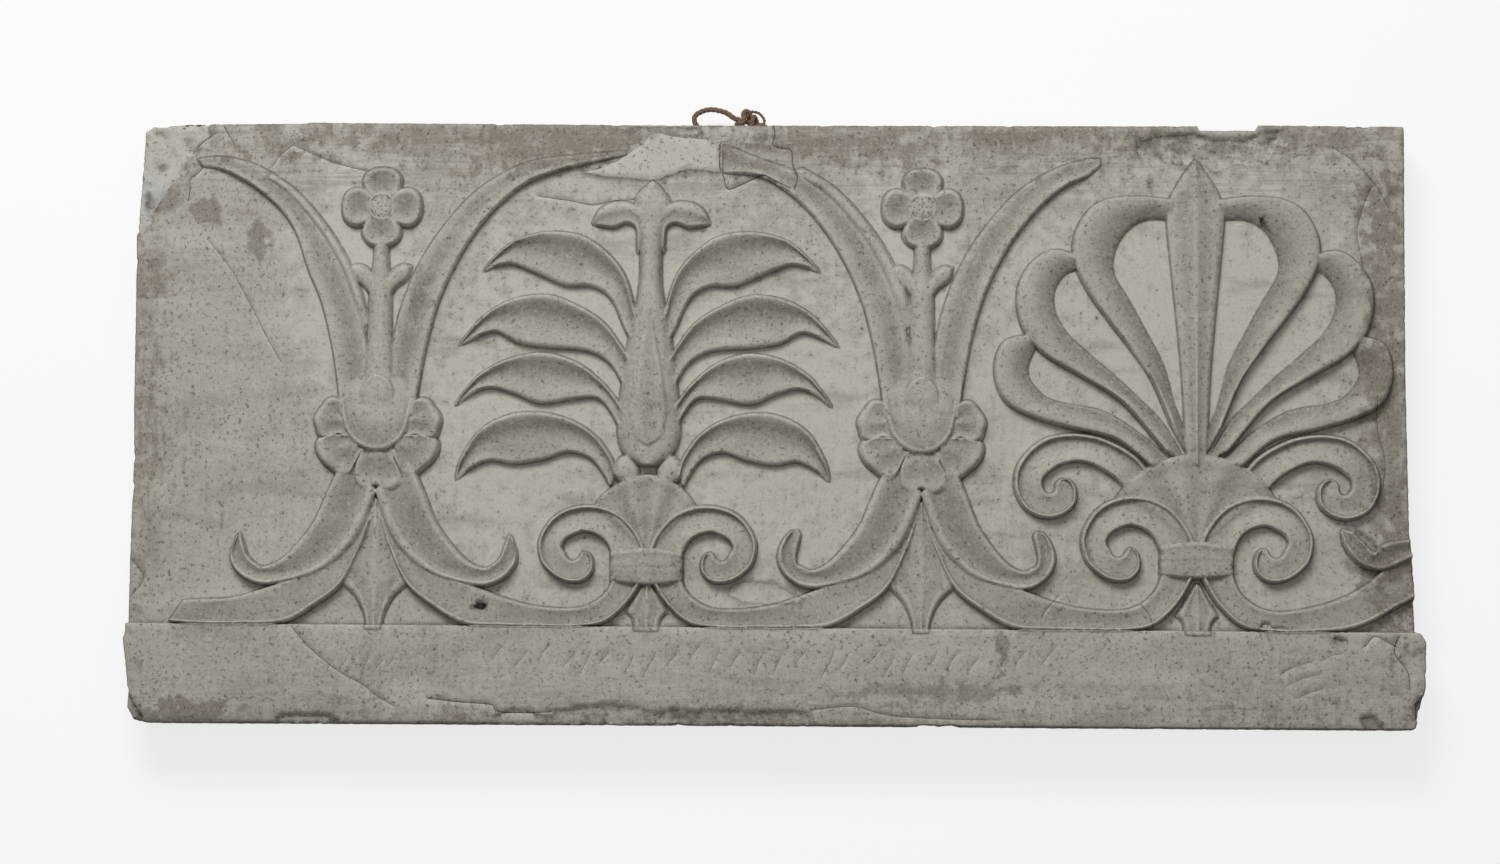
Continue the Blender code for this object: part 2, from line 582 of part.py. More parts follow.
def face_mesh():
    """The carved face, as points of the drawing and triangles."""
    forms = carving()
    surface = Surface(forms)
    points, edges = rails(forms, surface)
    loop = dense_outline()
    kept = {i for i, point in enumerate(points) if inside(point, loop)}
    start = len(points)
    points += loop
    edges = [(a, b) for a, b in edges if a in kept or b in kept]
    edges += [(start + i, start + (i + 1) % len(loop)) for i in range(len(loop))]
    arris = (ARRIS - BAND_HEIGHT) / UNIT
    beyond = PANEL_WIDTH / UNIT
    for z in (FOOT_SPREAD, 0, arris):
        edges.append((len(points), len(points) + 1))
        points += [(-beyond, z), (beyond, z)]
    flat = [Vector(point) for point in points]
    verts, _, tris, _, _, _ = delaunay_2d_cdt(flat, edges, [], 0, CLOSEST)
    solid = []
    band = BAND_PROJECTION / UNIT
    for vert in verts:
        level = surface.height(vert.x, vert.y)
        if vert.y < CLOSEST:
            drop = max(arris - vert.y, 0) * ARRIS_SLOPE
            level = max(level if vert.y > -COVERED else 0, band - drop)
        solid.append((vert.x, vert.y, level))
    faces = []
    for tri in tris:
        centre = [sum(verts[i][k] for i in tri) / 3 for k in (0, 1)]
        if inside(centre, loop):
            faces.append(tuple(tri))
    return solid, faces


def panel():
    """The casting: the carved face, straight sides and a flat back, as one closed mesh."""
    points, faces = face_mesh()
    mesh = bpy.data.meshes.new("frieze_panel")
    body = bmesh.new()
    front = [body.verts.new(place) for place in metres(points)]
    for face in faces:
        body.faces.new([front[i] for i in face])
    bmesh.ops.delete(body, geom=[v for v in body.verts if not v.link_faces], context="VERTS")
    bmesh.ops.recalc_face_normals(body, faces=body.faces)
    rim = [edge for edge in body.edges if edge.is_boundary]
    sides = bmesh.ops.extrude_edge_only(body, edges=rim)
    for item in sides["geom"]:
        if isinstance(item, bmesh.types.BMVert):
            item.co.y = 0
    bmesh.ops.holes_fill(body, edges=[edge for edge in body.edges if edge.is_boundary])
    bmesh.ops.recalc_face_normals(body, faces=body.faces)
    body.to_mesh(mesh)
    body.free()
    return bpy.data.objects.new("frieze_panel", mesh)


def rope():
    """The bare stretch of the loop, from the panel's top edge over to the knot."""
    near_knot = KNOT_CENTRE - KNOT_WIDTH * 0.62
    span = near_knot - LOOP_LEFT
    route = [(LOOP_LEFT, PANEL_TOP + GAP + ROPE_DIAMETER / 2)]
    for across, up in LOOP_ROUTE:
        route.append((LOOP_LEFT + across * span, PANEL_TOP + up * LOOP_TOP))
    path = [(LOOP_LEFT, PANEL_TOP + GAP)] + along(route, LOOP_POINTS).tolist()
    curve = bpy.data.curves.new("hanging_loop", "CURVE")
    curve.dimensions = "3D"
    curve.bevel_depth = ROPE_DIAMETER / 2
    curve.bevel_resolution = 2
    curve.use_fill_caps = True
    spline = curve.splines.new("POLY")
    spline.points.add(len(path) - 1)
    for point, (x, z) in zip(spline.points, path):
        point.co = (x, -ROPE_INSET, z, 1)
    return bpy.data.objects.new("hanging_loop", curve)


def knot():
    """The knot, a rounded lump that sits on the panel's top edge."""
    mesh = bpy.data.meshes.new("loop_knot")
    body = bmesh.new()
    bmesh.ops.create_uvsphere(body, u_segments=14, v_segments=8, radius=0.5)
    for vert in body.verts:
        vert.co.x *= KNOT_WIDTH
        vert.co.y *= KNOT_DEPTH
        vert.co.z *= KNOT_HEIGHT
    body.to_mesh(mesh)
    body.free()
    lump = bpy.data.objects.new("loop_knot", mesh)
    lump.location = (KNOT_CENTRE, -ROPE_INSET, PANEL_TOP + KNOT_HEIGHT / 2 + GAP)
    return lump


def finish(name, colour, roughness):
    """A plain material."""
    material = bpy.data.materials.new(name)
    material.use_nodes = True
    shader = material.node_tree.nodes["Principled BSDF"]
    shader.inputs["Base Color"].default_value = (*colour, 1)
    shader.inputs["Roughness"].default_value = roughness
    shader.inputs["Metallic"].default_value = 0.0
    return material


def main():
    for item in list(bpy.data.objects):
        bpy.data.objects.remove(item, do_unlink=True)
    collection = bpy.data.collections.new("plaster_frieze")
    bpy.context.scene.collection.children.link(collection)
    plaster = finish("aged_plaster", (0.42, 0.39, 0.35), 0.85)
    hemp = finish("hemp_rope", (0.16, 0.10, 0.06), 0.9)
    for item, material in ((panel(), plaster), (rope(), hemp), (knot(), hemp)):
        item.data.materials.append(material)
        collection.objects.link(item)


main()
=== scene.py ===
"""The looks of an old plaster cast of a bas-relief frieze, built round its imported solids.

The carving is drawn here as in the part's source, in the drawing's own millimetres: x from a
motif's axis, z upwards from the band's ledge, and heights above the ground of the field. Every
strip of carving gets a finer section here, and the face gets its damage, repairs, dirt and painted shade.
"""

import math
import random

import bpy
import numpy as np
from mathutils import Matrix, Vector, noise
from mathutils.bvhtree import BVHTree
from mathutils.geometry import delaunay_2d_cdt


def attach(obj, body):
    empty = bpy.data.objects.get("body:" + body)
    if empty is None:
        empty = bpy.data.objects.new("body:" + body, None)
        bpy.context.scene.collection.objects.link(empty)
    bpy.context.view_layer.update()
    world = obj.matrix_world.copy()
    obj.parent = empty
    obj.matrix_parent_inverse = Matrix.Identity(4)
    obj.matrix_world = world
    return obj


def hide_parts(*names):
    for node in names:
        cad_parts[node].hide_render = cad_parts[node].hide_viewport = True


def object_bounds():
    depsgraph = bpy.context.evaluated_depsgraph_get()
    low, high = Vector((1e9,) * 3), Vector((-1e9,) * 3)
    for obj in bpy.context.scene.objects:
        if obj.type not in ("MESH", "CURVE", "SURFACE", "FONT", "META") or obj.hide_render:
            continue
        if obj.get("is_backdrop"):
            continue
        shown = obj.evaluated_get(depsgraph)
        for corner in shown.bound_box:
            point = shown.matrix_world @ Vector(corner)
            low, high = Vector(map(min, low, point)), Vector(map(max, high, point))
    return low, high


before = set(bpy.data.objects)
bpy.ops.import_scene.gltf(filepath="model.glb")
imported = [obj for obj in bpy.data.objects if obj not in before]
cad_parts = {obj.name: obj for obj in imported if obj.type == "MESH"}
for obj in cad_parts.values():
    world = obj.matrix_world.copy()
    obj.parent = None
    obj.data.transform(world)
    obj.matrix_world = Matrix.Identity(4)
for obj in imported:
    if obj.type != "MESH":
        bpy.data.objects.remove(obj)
CAD_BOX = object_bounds()

bl_info = {
    "name": "Plaster Frieze Cast",
    "version": (1, 0, 0),
    "blender": (4, 5, 0),
    "location": "View3D > Sidebar > Frieze",
    "description": "Builds an old plaster cast of a lotus and palmette frieze with its hanging loop",
    "category": "Add Mesh",
}

MM = 0.001

# The panel, as in the part's source.
PANEL_WIDTH = 1150 * MM
FIELD_HEIGHT = 458 * MM
BAND_HEIGHT = 89 * MM
SLAB_THICKNESS = 45 * MM
BAND_PROJECTION = 12 * MM
ARRIS = 5 * MM
ARRIS_SLOPE = 0.6
DRAWN_FIELD = 458
UNIT = FIELD_HEIGHT / DRAWN_FIELD
PITCH = 246
RUN_SHIFT = 17.6
FIRST_AXIS = RUN_SHIFT - 1.5 * PITCH
PANEL_TOP = (FIELD_HEIGHT + BAND_HEIGHT) / 2
LEDGE_Z = PANEL_TOP - FIELD_HEIGHT
GROUND_Y = -SLAB_THICKNESS

# The rope loop and its knot, as in the part's source.
ROPE_DIAMETER = 5 * MM
ROPE_INSET = 14 * MM
LOOP_LEFT = -65 * MM
LOOP_TOP = 20.5 * MM
LOOP_ROUTE = ((-0.12, 0.45), (-0.09, 0.75), (0.28, 1), (0.74, 0.88), (1, 0.6))
LOOP_POINTS = 12
KNOT_CENTRE = -14 * MM
KNOT_WIDTH = 30 * MM
KNOT_OVERLAP = 0.62
GAP = 0.3 * MM

# The two long shallow chips in the top edge, from the panel's left and right ends.
LEFT_CHIP = (152, 154)
RIGHT_CHIP = (186, 184, 134, 131)
CHIP_DEPTH = 4

# How finely the drawing is turned into faces, in the drawing's millimetres.
STATION = 3.0
DENSE = 12
SNAP = 0.55
COVERED = 0.4
FAR = 1000
FILL_CARVED = 3.8
FILL_GROUND = 4.8
FILL_SHAKE = 0.4
EDGE_STEP = 2.6
BACK_FILL = 24
GROOVE_SNAP = 0.2

# Shares of that spacing: how near another point may be, and how far apart the rows are.
FILL_REACH = 0.72
ROW_STEP = 0.866

# Rings down the sides, as shares of the depth and how deep they may be bitten, in metres, and the
# depth of dents in the back.
SIDE_RINGS = ((0.06, 0.0012), (0.3, 0.0016), (0.65, 0.0018), (1, 0))
BACK_DENT = 0.0008

# What the sides and the back carry in place of the face's painted shade, wear and marks.
SIDE_SHADE_AND_WEAR = (0, 0.3, 0.5, 1)
SIDE_MARKS = (0.15, 0, 0, 0)

# The rope's loose fibres, and the strands of its knot: points from the knot's middle and up from the
# panel's top edge in millimetres, diameter, number of strands, lay, and number of fibres.
HAIR = 0.00011
LOOP_HAIRS = 70
LOOP_SEED = 4
LOOP_HAIR_REACH = (0.0008, 0.002)
KNOT_HAIR_REACH = (0.001, 0.003)
LOOP_STRANDS = 3
KNOT_STRANDS = (
    (((-19, 0, 12), (-13, 0, 10.4), (-6, 1, 8.6), (0, 1, 6.6), (6, 0, 5.6), (11, 0, 3.4), (14, 0, 0.4)),
     5.0, 3, 13, 60),
    (((-14, -1, 9), (-11, -4.4, 6), (-9, -4.6, 11), (-8, 0, 15), (-5, 4, 13), (-4, 4.4, 7), (-4, 0, 3.8),
      (-2, -4.2, 5), (-1, -4.8, 10), (0, 0, 13.6), (2, 4, 10), (3, 4, 5), (3, 0, 2.6), (1, -4, 3)),
     4.8, 3, 9, 80),
    (((-6, -2, 12), (-6, -1, 16), (-2, 0, 18.2), (4, 0, 17), (8, 0, 13), (9.6, 0, 9), (8, -1, 5.4)),
     3.0, 2, 6, 40),
    (((-9, -3, 12), (-10, -3, 15), (-8, -2, 18.4), (-5, -1, 17.4), (-3, 1, 14)), 4.6, 3, 7, 160),
    (((-15, -1, 8), (-17, -2, 6.4), (-15, -3, 4.6), (-10, -3, 4), (-7, -2, 1.6)), 3.4, 2, 7, 60),
)

# Stations along the loop, the fewest along a strand of the knot, and how many for each of its points.
ROPE_STATIONS = 60
KNOT_STATIONS = 12
STATIONS_PER_POINT = 5

# A strand's radius by the number of strands, and how far out it lies, as shares of the rope's thickness.
STRAND_RADIUS = {2: 0.25, 3: 0.27}
STRAND_OUT = 0.235

# The camera: where it stands, how it is turned, rolled and tilted, in degrees, and its lens.
CAMERA_PLACE = (0.09636, -2.91698, -0.28585)
CAMERA_TURN = (2.202, 5.537, -0.525)
CAMERA_LENS = 76.8
CAMERA_SENSOR = 36
CAMERA_NEAR = 0.05

# The lights' places and sizes, the room's colour, and the floor and wall with their paper.
KEY_PLACE = (-0.55, -2.3, 2.0)
KEY_SIZE = (1.6, 1.0)
FILL_PLACE = (0.3, -3.4, 0.5)
FILL_SIZE = (3.0, 2.2)
ROOM_COLOUR = (0.93, 0.96, 1.0)
FLOOR_GLOW = 0.5
STUDIO_REACH = 12
WALL_GAP = 0.003
PAPER = (0.18, 0.18, 0.18, 1)
DIM_PAPER = (0.25, 0.25, 0.25)

# Rings round a form that bring its edge down to the ground: how far out, what is left of its
# height, and how dark the painted shade and dirt at its foot are.
CREASE_RINGS = ((1.7, 0.03, 1.0), (3.1, 0.0, 0.0))

# How dark the painted shade and dirt are on a form's own outline, where that foot starts.
EDGE_DARK = 0.35

# Sections across the carved strips: how far across, how high and how dark with painted shade and old dirt.
LEAF_SECTION = ((0, 8.4, 0), (0.03, 9.8, 0), (0.08, 9, 0.15), (0.16, 7.2, 0.55), (0.26, 5.6, 0.7),
                (0.38, 4.7, 0.6), (0.55, 5, 0.35), (0.75, 6, 0.15), (0.93, 7.2, 0.05),
                (1, 6.6, 0.1))
PETAL_SECTION = ((0, 2.6, 0.1), (0.08, 2.9, 0.1), (0.3, 3.5, 0.5), (0.55, 4.7, 0.5),
                 (0.8, 6.2, 0.15), (0.94, 7.2, 0), (1, 6.7, 0))
FILLET_SECTION = ((0, 3.4, 0.2), (0.3, 5.6, 0), (0.65, 6.4, 0), (1, 5.2, 0.2))
HOOK_SECTION = ((0, 6.4, 0), (0.05, 7.8, 0), (0.14, 7.4, 0.3), (0.3, 5.4, 0.45), (0.5, 4.4, 0.6),
                (0.66, 5, 0.5), (0.78, 7.4, 0.3), (0.85, 10.2, 0), (0.92, 11, 0), (1, 9.2, 0.1))
SCROLL_SECTION = ((0, 8.4, 0), (0.035, 9.9, 0), (0.08, 9.9, 0), (0.115, 7.2, 0.5), (0.17, 5.4, 0.5),
                  (0.35, 5.2, 0.1), (0.6, 6.2, 0), (0.85, 8, 0), (0.96, 9, 0), (1, 8.4, 0.05))
LOBE_SECTION = ((0, 7.4, 0), (0.04, 9.4, 0), (0.12, 10, 0.05), (0.35, 9.4, 0.1), (0.55, 7.8, 0.3),
                (0.75, 5.6, 0.5), (0.9, 4.2, 0.65), (1, 3.4, 0.7))
RIDGE_SECTION = ((0, 5.5, 0), (0.12, 7, 0.1), (0.3, 7.2, 0.35), (0.44, 9.6, 0.1), (0.5, 11.2, 0),
                 (0.56, 9.6, 0.1), (0.7, 7.2, 0.35), (0.88, 7, 0.1), (1, 5.5, 0))
ROUND_SECTION = ((0, 6.5, 0.3), (0.08, 9.6, 0.2), (0.2, 11.8, 0.1), (0.35, 12.8, 0), (0.5, 13, 0),
                 (0.65, 12.8, 0), (0.8, 11.8, 0.1), (0.92, 9.6, 0.2), (1, 6.5, 0.3))
LANCET_SECTION = ((0, 13.8, 0), (0.1, 14.6, 0), (0.3, 14.4, 0.2), (0.5, 14.8, 0.25),
                  (0.7, 14.4, 0.2), (0.9, 14.6, 0), (1, 13.8, 0))
STEM_SECTION = ((0, 4.6, 0.2), (0.15, 7, 0.1), (0.35, 8.4, 0), (0.5, 8.7, 0), (0.65, 8.4, 0),
                (0.85, 7, 0.1), (1, 4.6, 0.2))
TIE_SECTION = ((0, 9.8, 0), (0.06, 11.8, 0), (0.14, 11.4, 0.3), (0.4, 12.2, 0.1),
               (0.5, 11.9, 0.35), (0.6, 12.2, 0.1), (0.86, 11.4, 0.3), (0.94, 11.8, 0),
               (1, 9.8, 0))
LEAFLET_SECTION = ((0, 4.4, 0.1), (0.12, 7.6, 0), (0.3, 8.4, 0), (0.5, 6.6, 0.45),
                   (0.75, 6.2, 0.45), (0.92, 7.2, 0), (1, 6, 0.1))
STEM_LEAF_SECTION = ((0, 4.2, 0.2), (0.2, 6.4, 0), (0.5, 7.2, 0.1), (0.8, 6.4, 0), (1, 4.4, 0.2))
KITE_SECTION = ((0, 3.2, 0.3), (0.07, 5, 0), (0.14, 5.2, 0), (0.22, 3.8, 0.35), (0.4, 5.2, 0.1),
                (0.5, 7.8, 0), (0.6, 5.2, 0.1), (0.78, 3.8, 0.35), (0.86, 5.2, 0), (0.93, 5, 0),
                (1, 3.2, 0.3))
# The rings below give how far in, how high and how dark with painted shade and old dirt, as the sections do.
CUP_RINGS = ((1, 10.5, 0), (0.965, 12.6, 0), (0.93, 12.9, 0), (0.88, 11.7, 0.5), (0.75, 13, 0.25),
             (0.5, 14.6, 0.1), (0.25, 15.2, 0), (0, 15.2, 0))
# Between these heights on the panel the cup sinks to a share of its own height.
CUP_TOP = (190, 228)
CUP_LOWERED = 0.3
CUP_CENTRE = (0, 205)
TONGUE_RINGS = ((1, 11.6, 0), (0.93, 13.2, 0), (0.85, 13, 0.2), (0.6, 13.8, 0.05), (0.3, 14.4, 0),
                (0, 14.4, 0))
LOBE_RINGS = ((1, 5, 0), (0.96, 7.8, 0), (0.9, 9.2, 0), (0.82, 8.8, 0.15), (0.66, 7.8, 0.35),
              (0.45, 8.2, 0.45), (0.25, 9.4, 0.3), (0, 9.8, 0.2))
# The tongue's lower end, and the heights between which it rises from a share to its full height.
TONGUE_END = ((10, 190), (0, 180), (-10, 190))
TONGUE_FADE = (188, 212)
TONGUE_LOW = 0.86
LOBE_RIBS = 3
RIB_DEPTH = 0.9
FLOWER_RINGS = ((1, 4.6, 0), (0.93, 7.2, 0), (0.84, 8, 0), (0.7, 7.2, 0.25), (0.45, 5.8, 0.45),
                (0.2, 5, 0.6), (0, 5, 0.6))
EYE_RINGS = ((1, 5, 0.2), (0.96, 8, 0), (0.88, 8.6, 0), (0.82, 7, 0.7), (0.78, 6.4, 0.9),
             (0.74, 8.4, 0.2), (0.5, 9, 0), (0, 9.2, 0))
# Rings of small pits in the flower's eye, as how many and how far out, and each one's size.
EYE_DOTS = ((1, 0), (5, 3.8), (8, 7.4))
DOT_RADIUS = 1.1
DOT_DEPTH = 1.3
BUD_RINGS = ((1, 4.6, 0.1), (0.88, 7.2, 0.1), (0.65, 8.8, 0), (0.35, 9.8, 0), (0, 10, 0))
# The fan: its height at the apex, across its flutes and in a roll near the rim, the steps from one
# flute's edge to the next, points along a ray, the bend of its slope, and where the roll lies.
FAN_APEX_HEIGHT = 4.5
FAN_SECTION = (4, 8.5, 6, 10, 7, 10, 6, 8.5, 4)
FAN_RIM_RISE = 0.8
FAN_STEPS = 6
FAN_RAY_POINTS = 26
FAN_BEND = 0.7
FAN_ROLL = (0.88, 0.97)

# Rungs across each carved strip: x and z on one edge, then x and z on the other.
LEAVES = (
    ((153, 323, 153, 323), (140, 337, 142, 328), (122, 351, 126, 330), (93, 358, 104, 322),
     (62, 354, 78, 311), (38, 337, 53, 310), (23, 316, 35, 298), (14, 285, 22, 270), (8, 262, 14, 255)),
    ((172, 255, 172, 255), (160, 270, 155, 264), (145, 285, 138, 268), (121, 297, 118, 258),
     (92, 300, 92, 254), (63, 289, 62, 252), (42, 275, 44, 246), (28, 257, 31, 234), (16, 238, 20, 212)),
    ((171, 200, 171, 200), (160, 215, 156, 212), (146, 230, 139, 217), (120, 243, 119, 212),
     (92, 247, 95, 203), (65, 239, 68, 207), (45, 224, 46, 208), (31, 208, 33, 195), (18, 188, 22, 172)),
    ((168, 133, 168, 133), (164, 150, 155, 144), (148, 176, 138, 151), (124, 190, 117, 148),
     (96, 193, 92, 152), (68, 186, 70, 159), (47, 172, 50, 153), (33, 153, 38, 138), (29, 138, 33, 128)),
)
LEAF_REACH = {-1: (0.995, 1.005, 1.03, 1.035), 1: (1.0, 0.99, 0.965, 0.97)}
PETAL = ((9, 205, 33, 190), (11, 240, 38, 228), (16, 272, 45, 264), (25, 303, 54, 296), (40, 336, 67, 326),
         (61, 367, 84, 355), (88, 396, 106, 382), (118, 415, 130, 402), (146, 425, 151, 412))
PETALS = {
    "left": PETAL[:5] + ((62, 367, 77, 355), (86, 399, 91, 377), (111, 416, 113, 397), (133, 424, 136, 411),
                         (153, 427, 154, 418), (172, 425, 168, 420)),
    "long": PETAL + ((190, 430, 188, 423), (226, 433, 226, 431)),
    "broken": PETAL + ((182, 439, 182, 415),),
    "right": PETAL + ((163, 427, 163, 422),),
}
HOOK = ((30, 150, 0, 122), (43, 120, 9, 97), (54, 94, 19, 77), (69, 73, 34, 60), (84, 58, 52, 48),
        (98, 52, 74, 41), (107, 55, 96, 37))
HOOK_TIPS = {"sharp": ((114, 62, 112, 41), (117, 70, 123, 50), (119, 76, 128, 62), (121, 82, 123, 80)),
             "blunt": ((112, 58, 112, 41), (113, 66, 124, 52), (111, 76, 128, 65), (109, 84, 124, 78),
                       (111, 88, 117, 87))}
SCROLL = ((246, 114, 246, 114), (239, 90, 233, 96), (231, 68, 219, 75), (216, 38, 199, 55),
          (193, 19, 176, 43), (164, 3, 152, 34), (130, 1, 128, 25), (98, 1, 100, 18), (66, 1, 71, 16),
          (39, 5, 53, 19), (20, 20, 38, 29), (7, 39, 31, 41), (1, 56, 29, 54), (3, 73, 31, 66),
          (12, 89, 36, 77), (26, 102, 45, 84), (47, 109, 57, 87), (69, 107, 67, 84), (86, 97, 75, 79),
          (97, 78, 78, 72), (95, 60, 75, 66), (87, 50, 73, 62), (76, 43, 70, 59.5), (65, 41, 66.5, 59),
          (56.5, 43, 63.5, 60), (50.5, 49, 61, 62), (49, 56, 59.5, 64.5), (50.5, 62.5, 58, 66.3),
          (54, 66.5, 56.5, 67))
BROKEN_END = (61, 3, 73, 21)
CUT_END = ((196, 34, 192, 70), (172, 21, 172, 61), (151, 10, 151, 43), (128, 3, 130, 31), (96, 1, 103, 22))
# The palmette's scrolls are stretched upwards, and more so the nearer they come to its axis.
PALMETTE_LIFT = 1.1
PALMETTE_TIE_RISE = 9
LOBE_REACH = {-1: (1.0, 1.01, 1.03), 1: (1.01, 1.0, 1.0)}
LIFT_FROM = 110
LIFT_OVER = 40
LOBES = (
    ((20, 389, 20, 373), (50, 392, 45, 373), (76, 390, 62, 363), (95, 380, 73, 345), (108, 357, 75, 323),
     (108, 332, 60, 296), (96, 306, 45, 268), (80, 283, 30, 238), (60, 257, 22, 208), (40, 228, 14, 185),
     (22, 186, 8, 160)),
    ((104, 338, 104, 328), (126, 343, 118, 322), (144, 333, 127, 306), (156, 314, 126, 287),
     (158, 292, 115, 267), (151, 268, 95, 248), (134, 249, 72, 228), (104, 231, 50, 207), (66, 207, 30, 186),
     (28, 163, 12, 155)),
    ((146, 266, 140, 256), (166, 260, 147, 240), (174, 243, 146, 226), (173, 222, 134, 211),
     (163, 204, 118, 204), (140, 192, 94, 200), (110, 183, 76, 194), (70, 173, 50, 177), (40, 149, 24, 154)),
)
CENTRAL_PETAL = ((0, 426), (-8, 415), (-14.5, 405), (-21, 393), (-24.5, 380), (-24.5, 366), (-20, 320),
                 (-15, 270), (-11, 220), (-8, 150))
SMALL_SCROLL = ((38, 136, 56, 120), (55, 156, 72, 138), (82, 171, 90, 149), (108, 176, 105, 153),
                (132, 173, 121, 150), (149, 162, 131, 144), (160, 146, 138, 137), (162, 128, 139, 131),
                (155, 112, 137.5, 126), (144, 104, 133.5, 122.3), (131, 101.5, 129.5, 122),
                (119, 105, 126.5, 124), (110, 113, 125.3, 127.5), (108, 122, 125.2, 130.5),
                (109.5, 130, 123.5, 133.5), (114.5, 134.8, 121.5, 135), (119, 135.6, 120, 135.5))
HALF_HOOK = ((195, 84, 195, 70), (173, 81, 180, 63), (163, 77, 166, 57), (157, 71, 150, 59),
             (149, 79, 139, 67), (139, 89, 131, 79), (130, 92, 129, 90))
SPINDLE = ((-10, 366), (-9, 315), (-15, 280), (-20, 252), (-24, 222), (-27, 190), (-27, 172), (-21, 156),
           (-8, 147))
LANCET = ((0, 292), (-6, 260), (-13, 222), (-16, 192), (-11, 172), (0, 163))
LEAFLET = ((2, 352, 12, 340), (6, 374, 13, 362), (19, 385, 22, 368), (34, 386, 34, 364), (46, 380, 44, 365),
           (53, 368, 52, 366))
BUD = ((1, 406), (-9, 397), (-14, 388), (-10, 372), (1, 362), (11, 372), (17, 385), (10, 397))
SIDE_BUD = ((18, 156), (9, 142), (12, 131), (24, 131), (31, 140), (26, 152))
FAN_RIM = ((-52, 104), (-38, 121), (-20, 132), (0, 137), (19, 132), (34, 121), (46, 104))
FAN_APEX = (0, 66)
PALMETTE_FAN_APEX = (0, 74)
PALMETTE_FAN_RIM = ((-74, 116), (-56, 137), (-31, 152), (0, 159), (31, 152), (54, 139), (72, 116))
TIE = ((-32, 42, -32, 67), (-15, 40, -15, 70), (0, 39, 0, 71), (15, 40, 15, 70), (31, 42, 31, 67))
KITE = ((-2, 114), (-16, 76), (-34, 40))
KITE_FOOT = ((-31, 40), (-17, 27), (-9, 12), (-6, -2))
SMALL_KITE = ((-1, 42), (-8, 30), (-18, 14))
SMALL_KITE_FOOT = ((-17, 14), (-12, 8), (-10, -2))
BELL = ((-34, 229), (-35, 214), (-32.5, 194), (-26, 173), (-13, 161), (0, 158), (13, 161), (25, 173),
        (30.5, 194), (33, 214), (32, 229))
TONGUE = ((-15, 205), (-13, 216), (-7, 224), (0, 227), (7, 224), (13, 216), (14, 205), (0, 196))
FLOWER_STEM = ((-6, 352), (-6, 332), (-9, 305), (-10, 265), (-12, 222))
STEM_LEAF = ((5, 308, 8, 300), (10, 322, 15, 309), (19, 328, 24, 316), (27, 327, 27, 325))
UPPER_LOBE = ((-30, 199), (-35, 204), (-40, 206), (-46, 204.5), (-50, 199.5), (-55.5, 192), (-57.5, 185),
              (-55.5, 179), (-54.5, 173.5), (-51, 170), (-46, 169.5), (-41, 172), (-33, 172), (-25, 170))
LOWER_LOBE = ((-25, 172), (-34, 172), (-41, 173), (-47, 170.5), (-53, 169), (-55.5, 164), (-54.5, 156.5),
              (-49, 148), (-42.5, 142.5), (-36, 137), (-29.5, 135), (-24, 137), (-20, 144.5), (-16.5, 151.5),
              (-14, 160))
FOOT_LOBE = ((-14, 160), (-16.5, 152), (-18.5, 146), (-19.5, 137), (-18, 128.5), (-13.5, 124), (-7, 123),
             (0, 126.5), (7, 122.5), (14, 122.5), (20, 126), (23, 133), (21.5, 140), (17.5, 146.5),
             (16, 152), (14, 160))
CROWN = ((UPPER_LOBE, (-26, 186), 1), (UPPER_LOBE, (-26, 186), -1), (LOWER_LOBE, (-18, 166), 1),
         (LOWER_LOBE, (-18, 166), -1), (FOOT_LOBE, (0, 156), 1))
FLOWER_LOBE = ((0, 0.27), (0.3, 0.46), (0.65, 0.50), (0.92, 0.32), (1, 0), (0.92, -0.32), (0.65, -0.50),
               (0.3, -0.46), (0, -0.27))
FLOWER_AT = (0, 381)
FLOWER_PETAL = (8, 36, 34)
FLOWER_EYE = 13
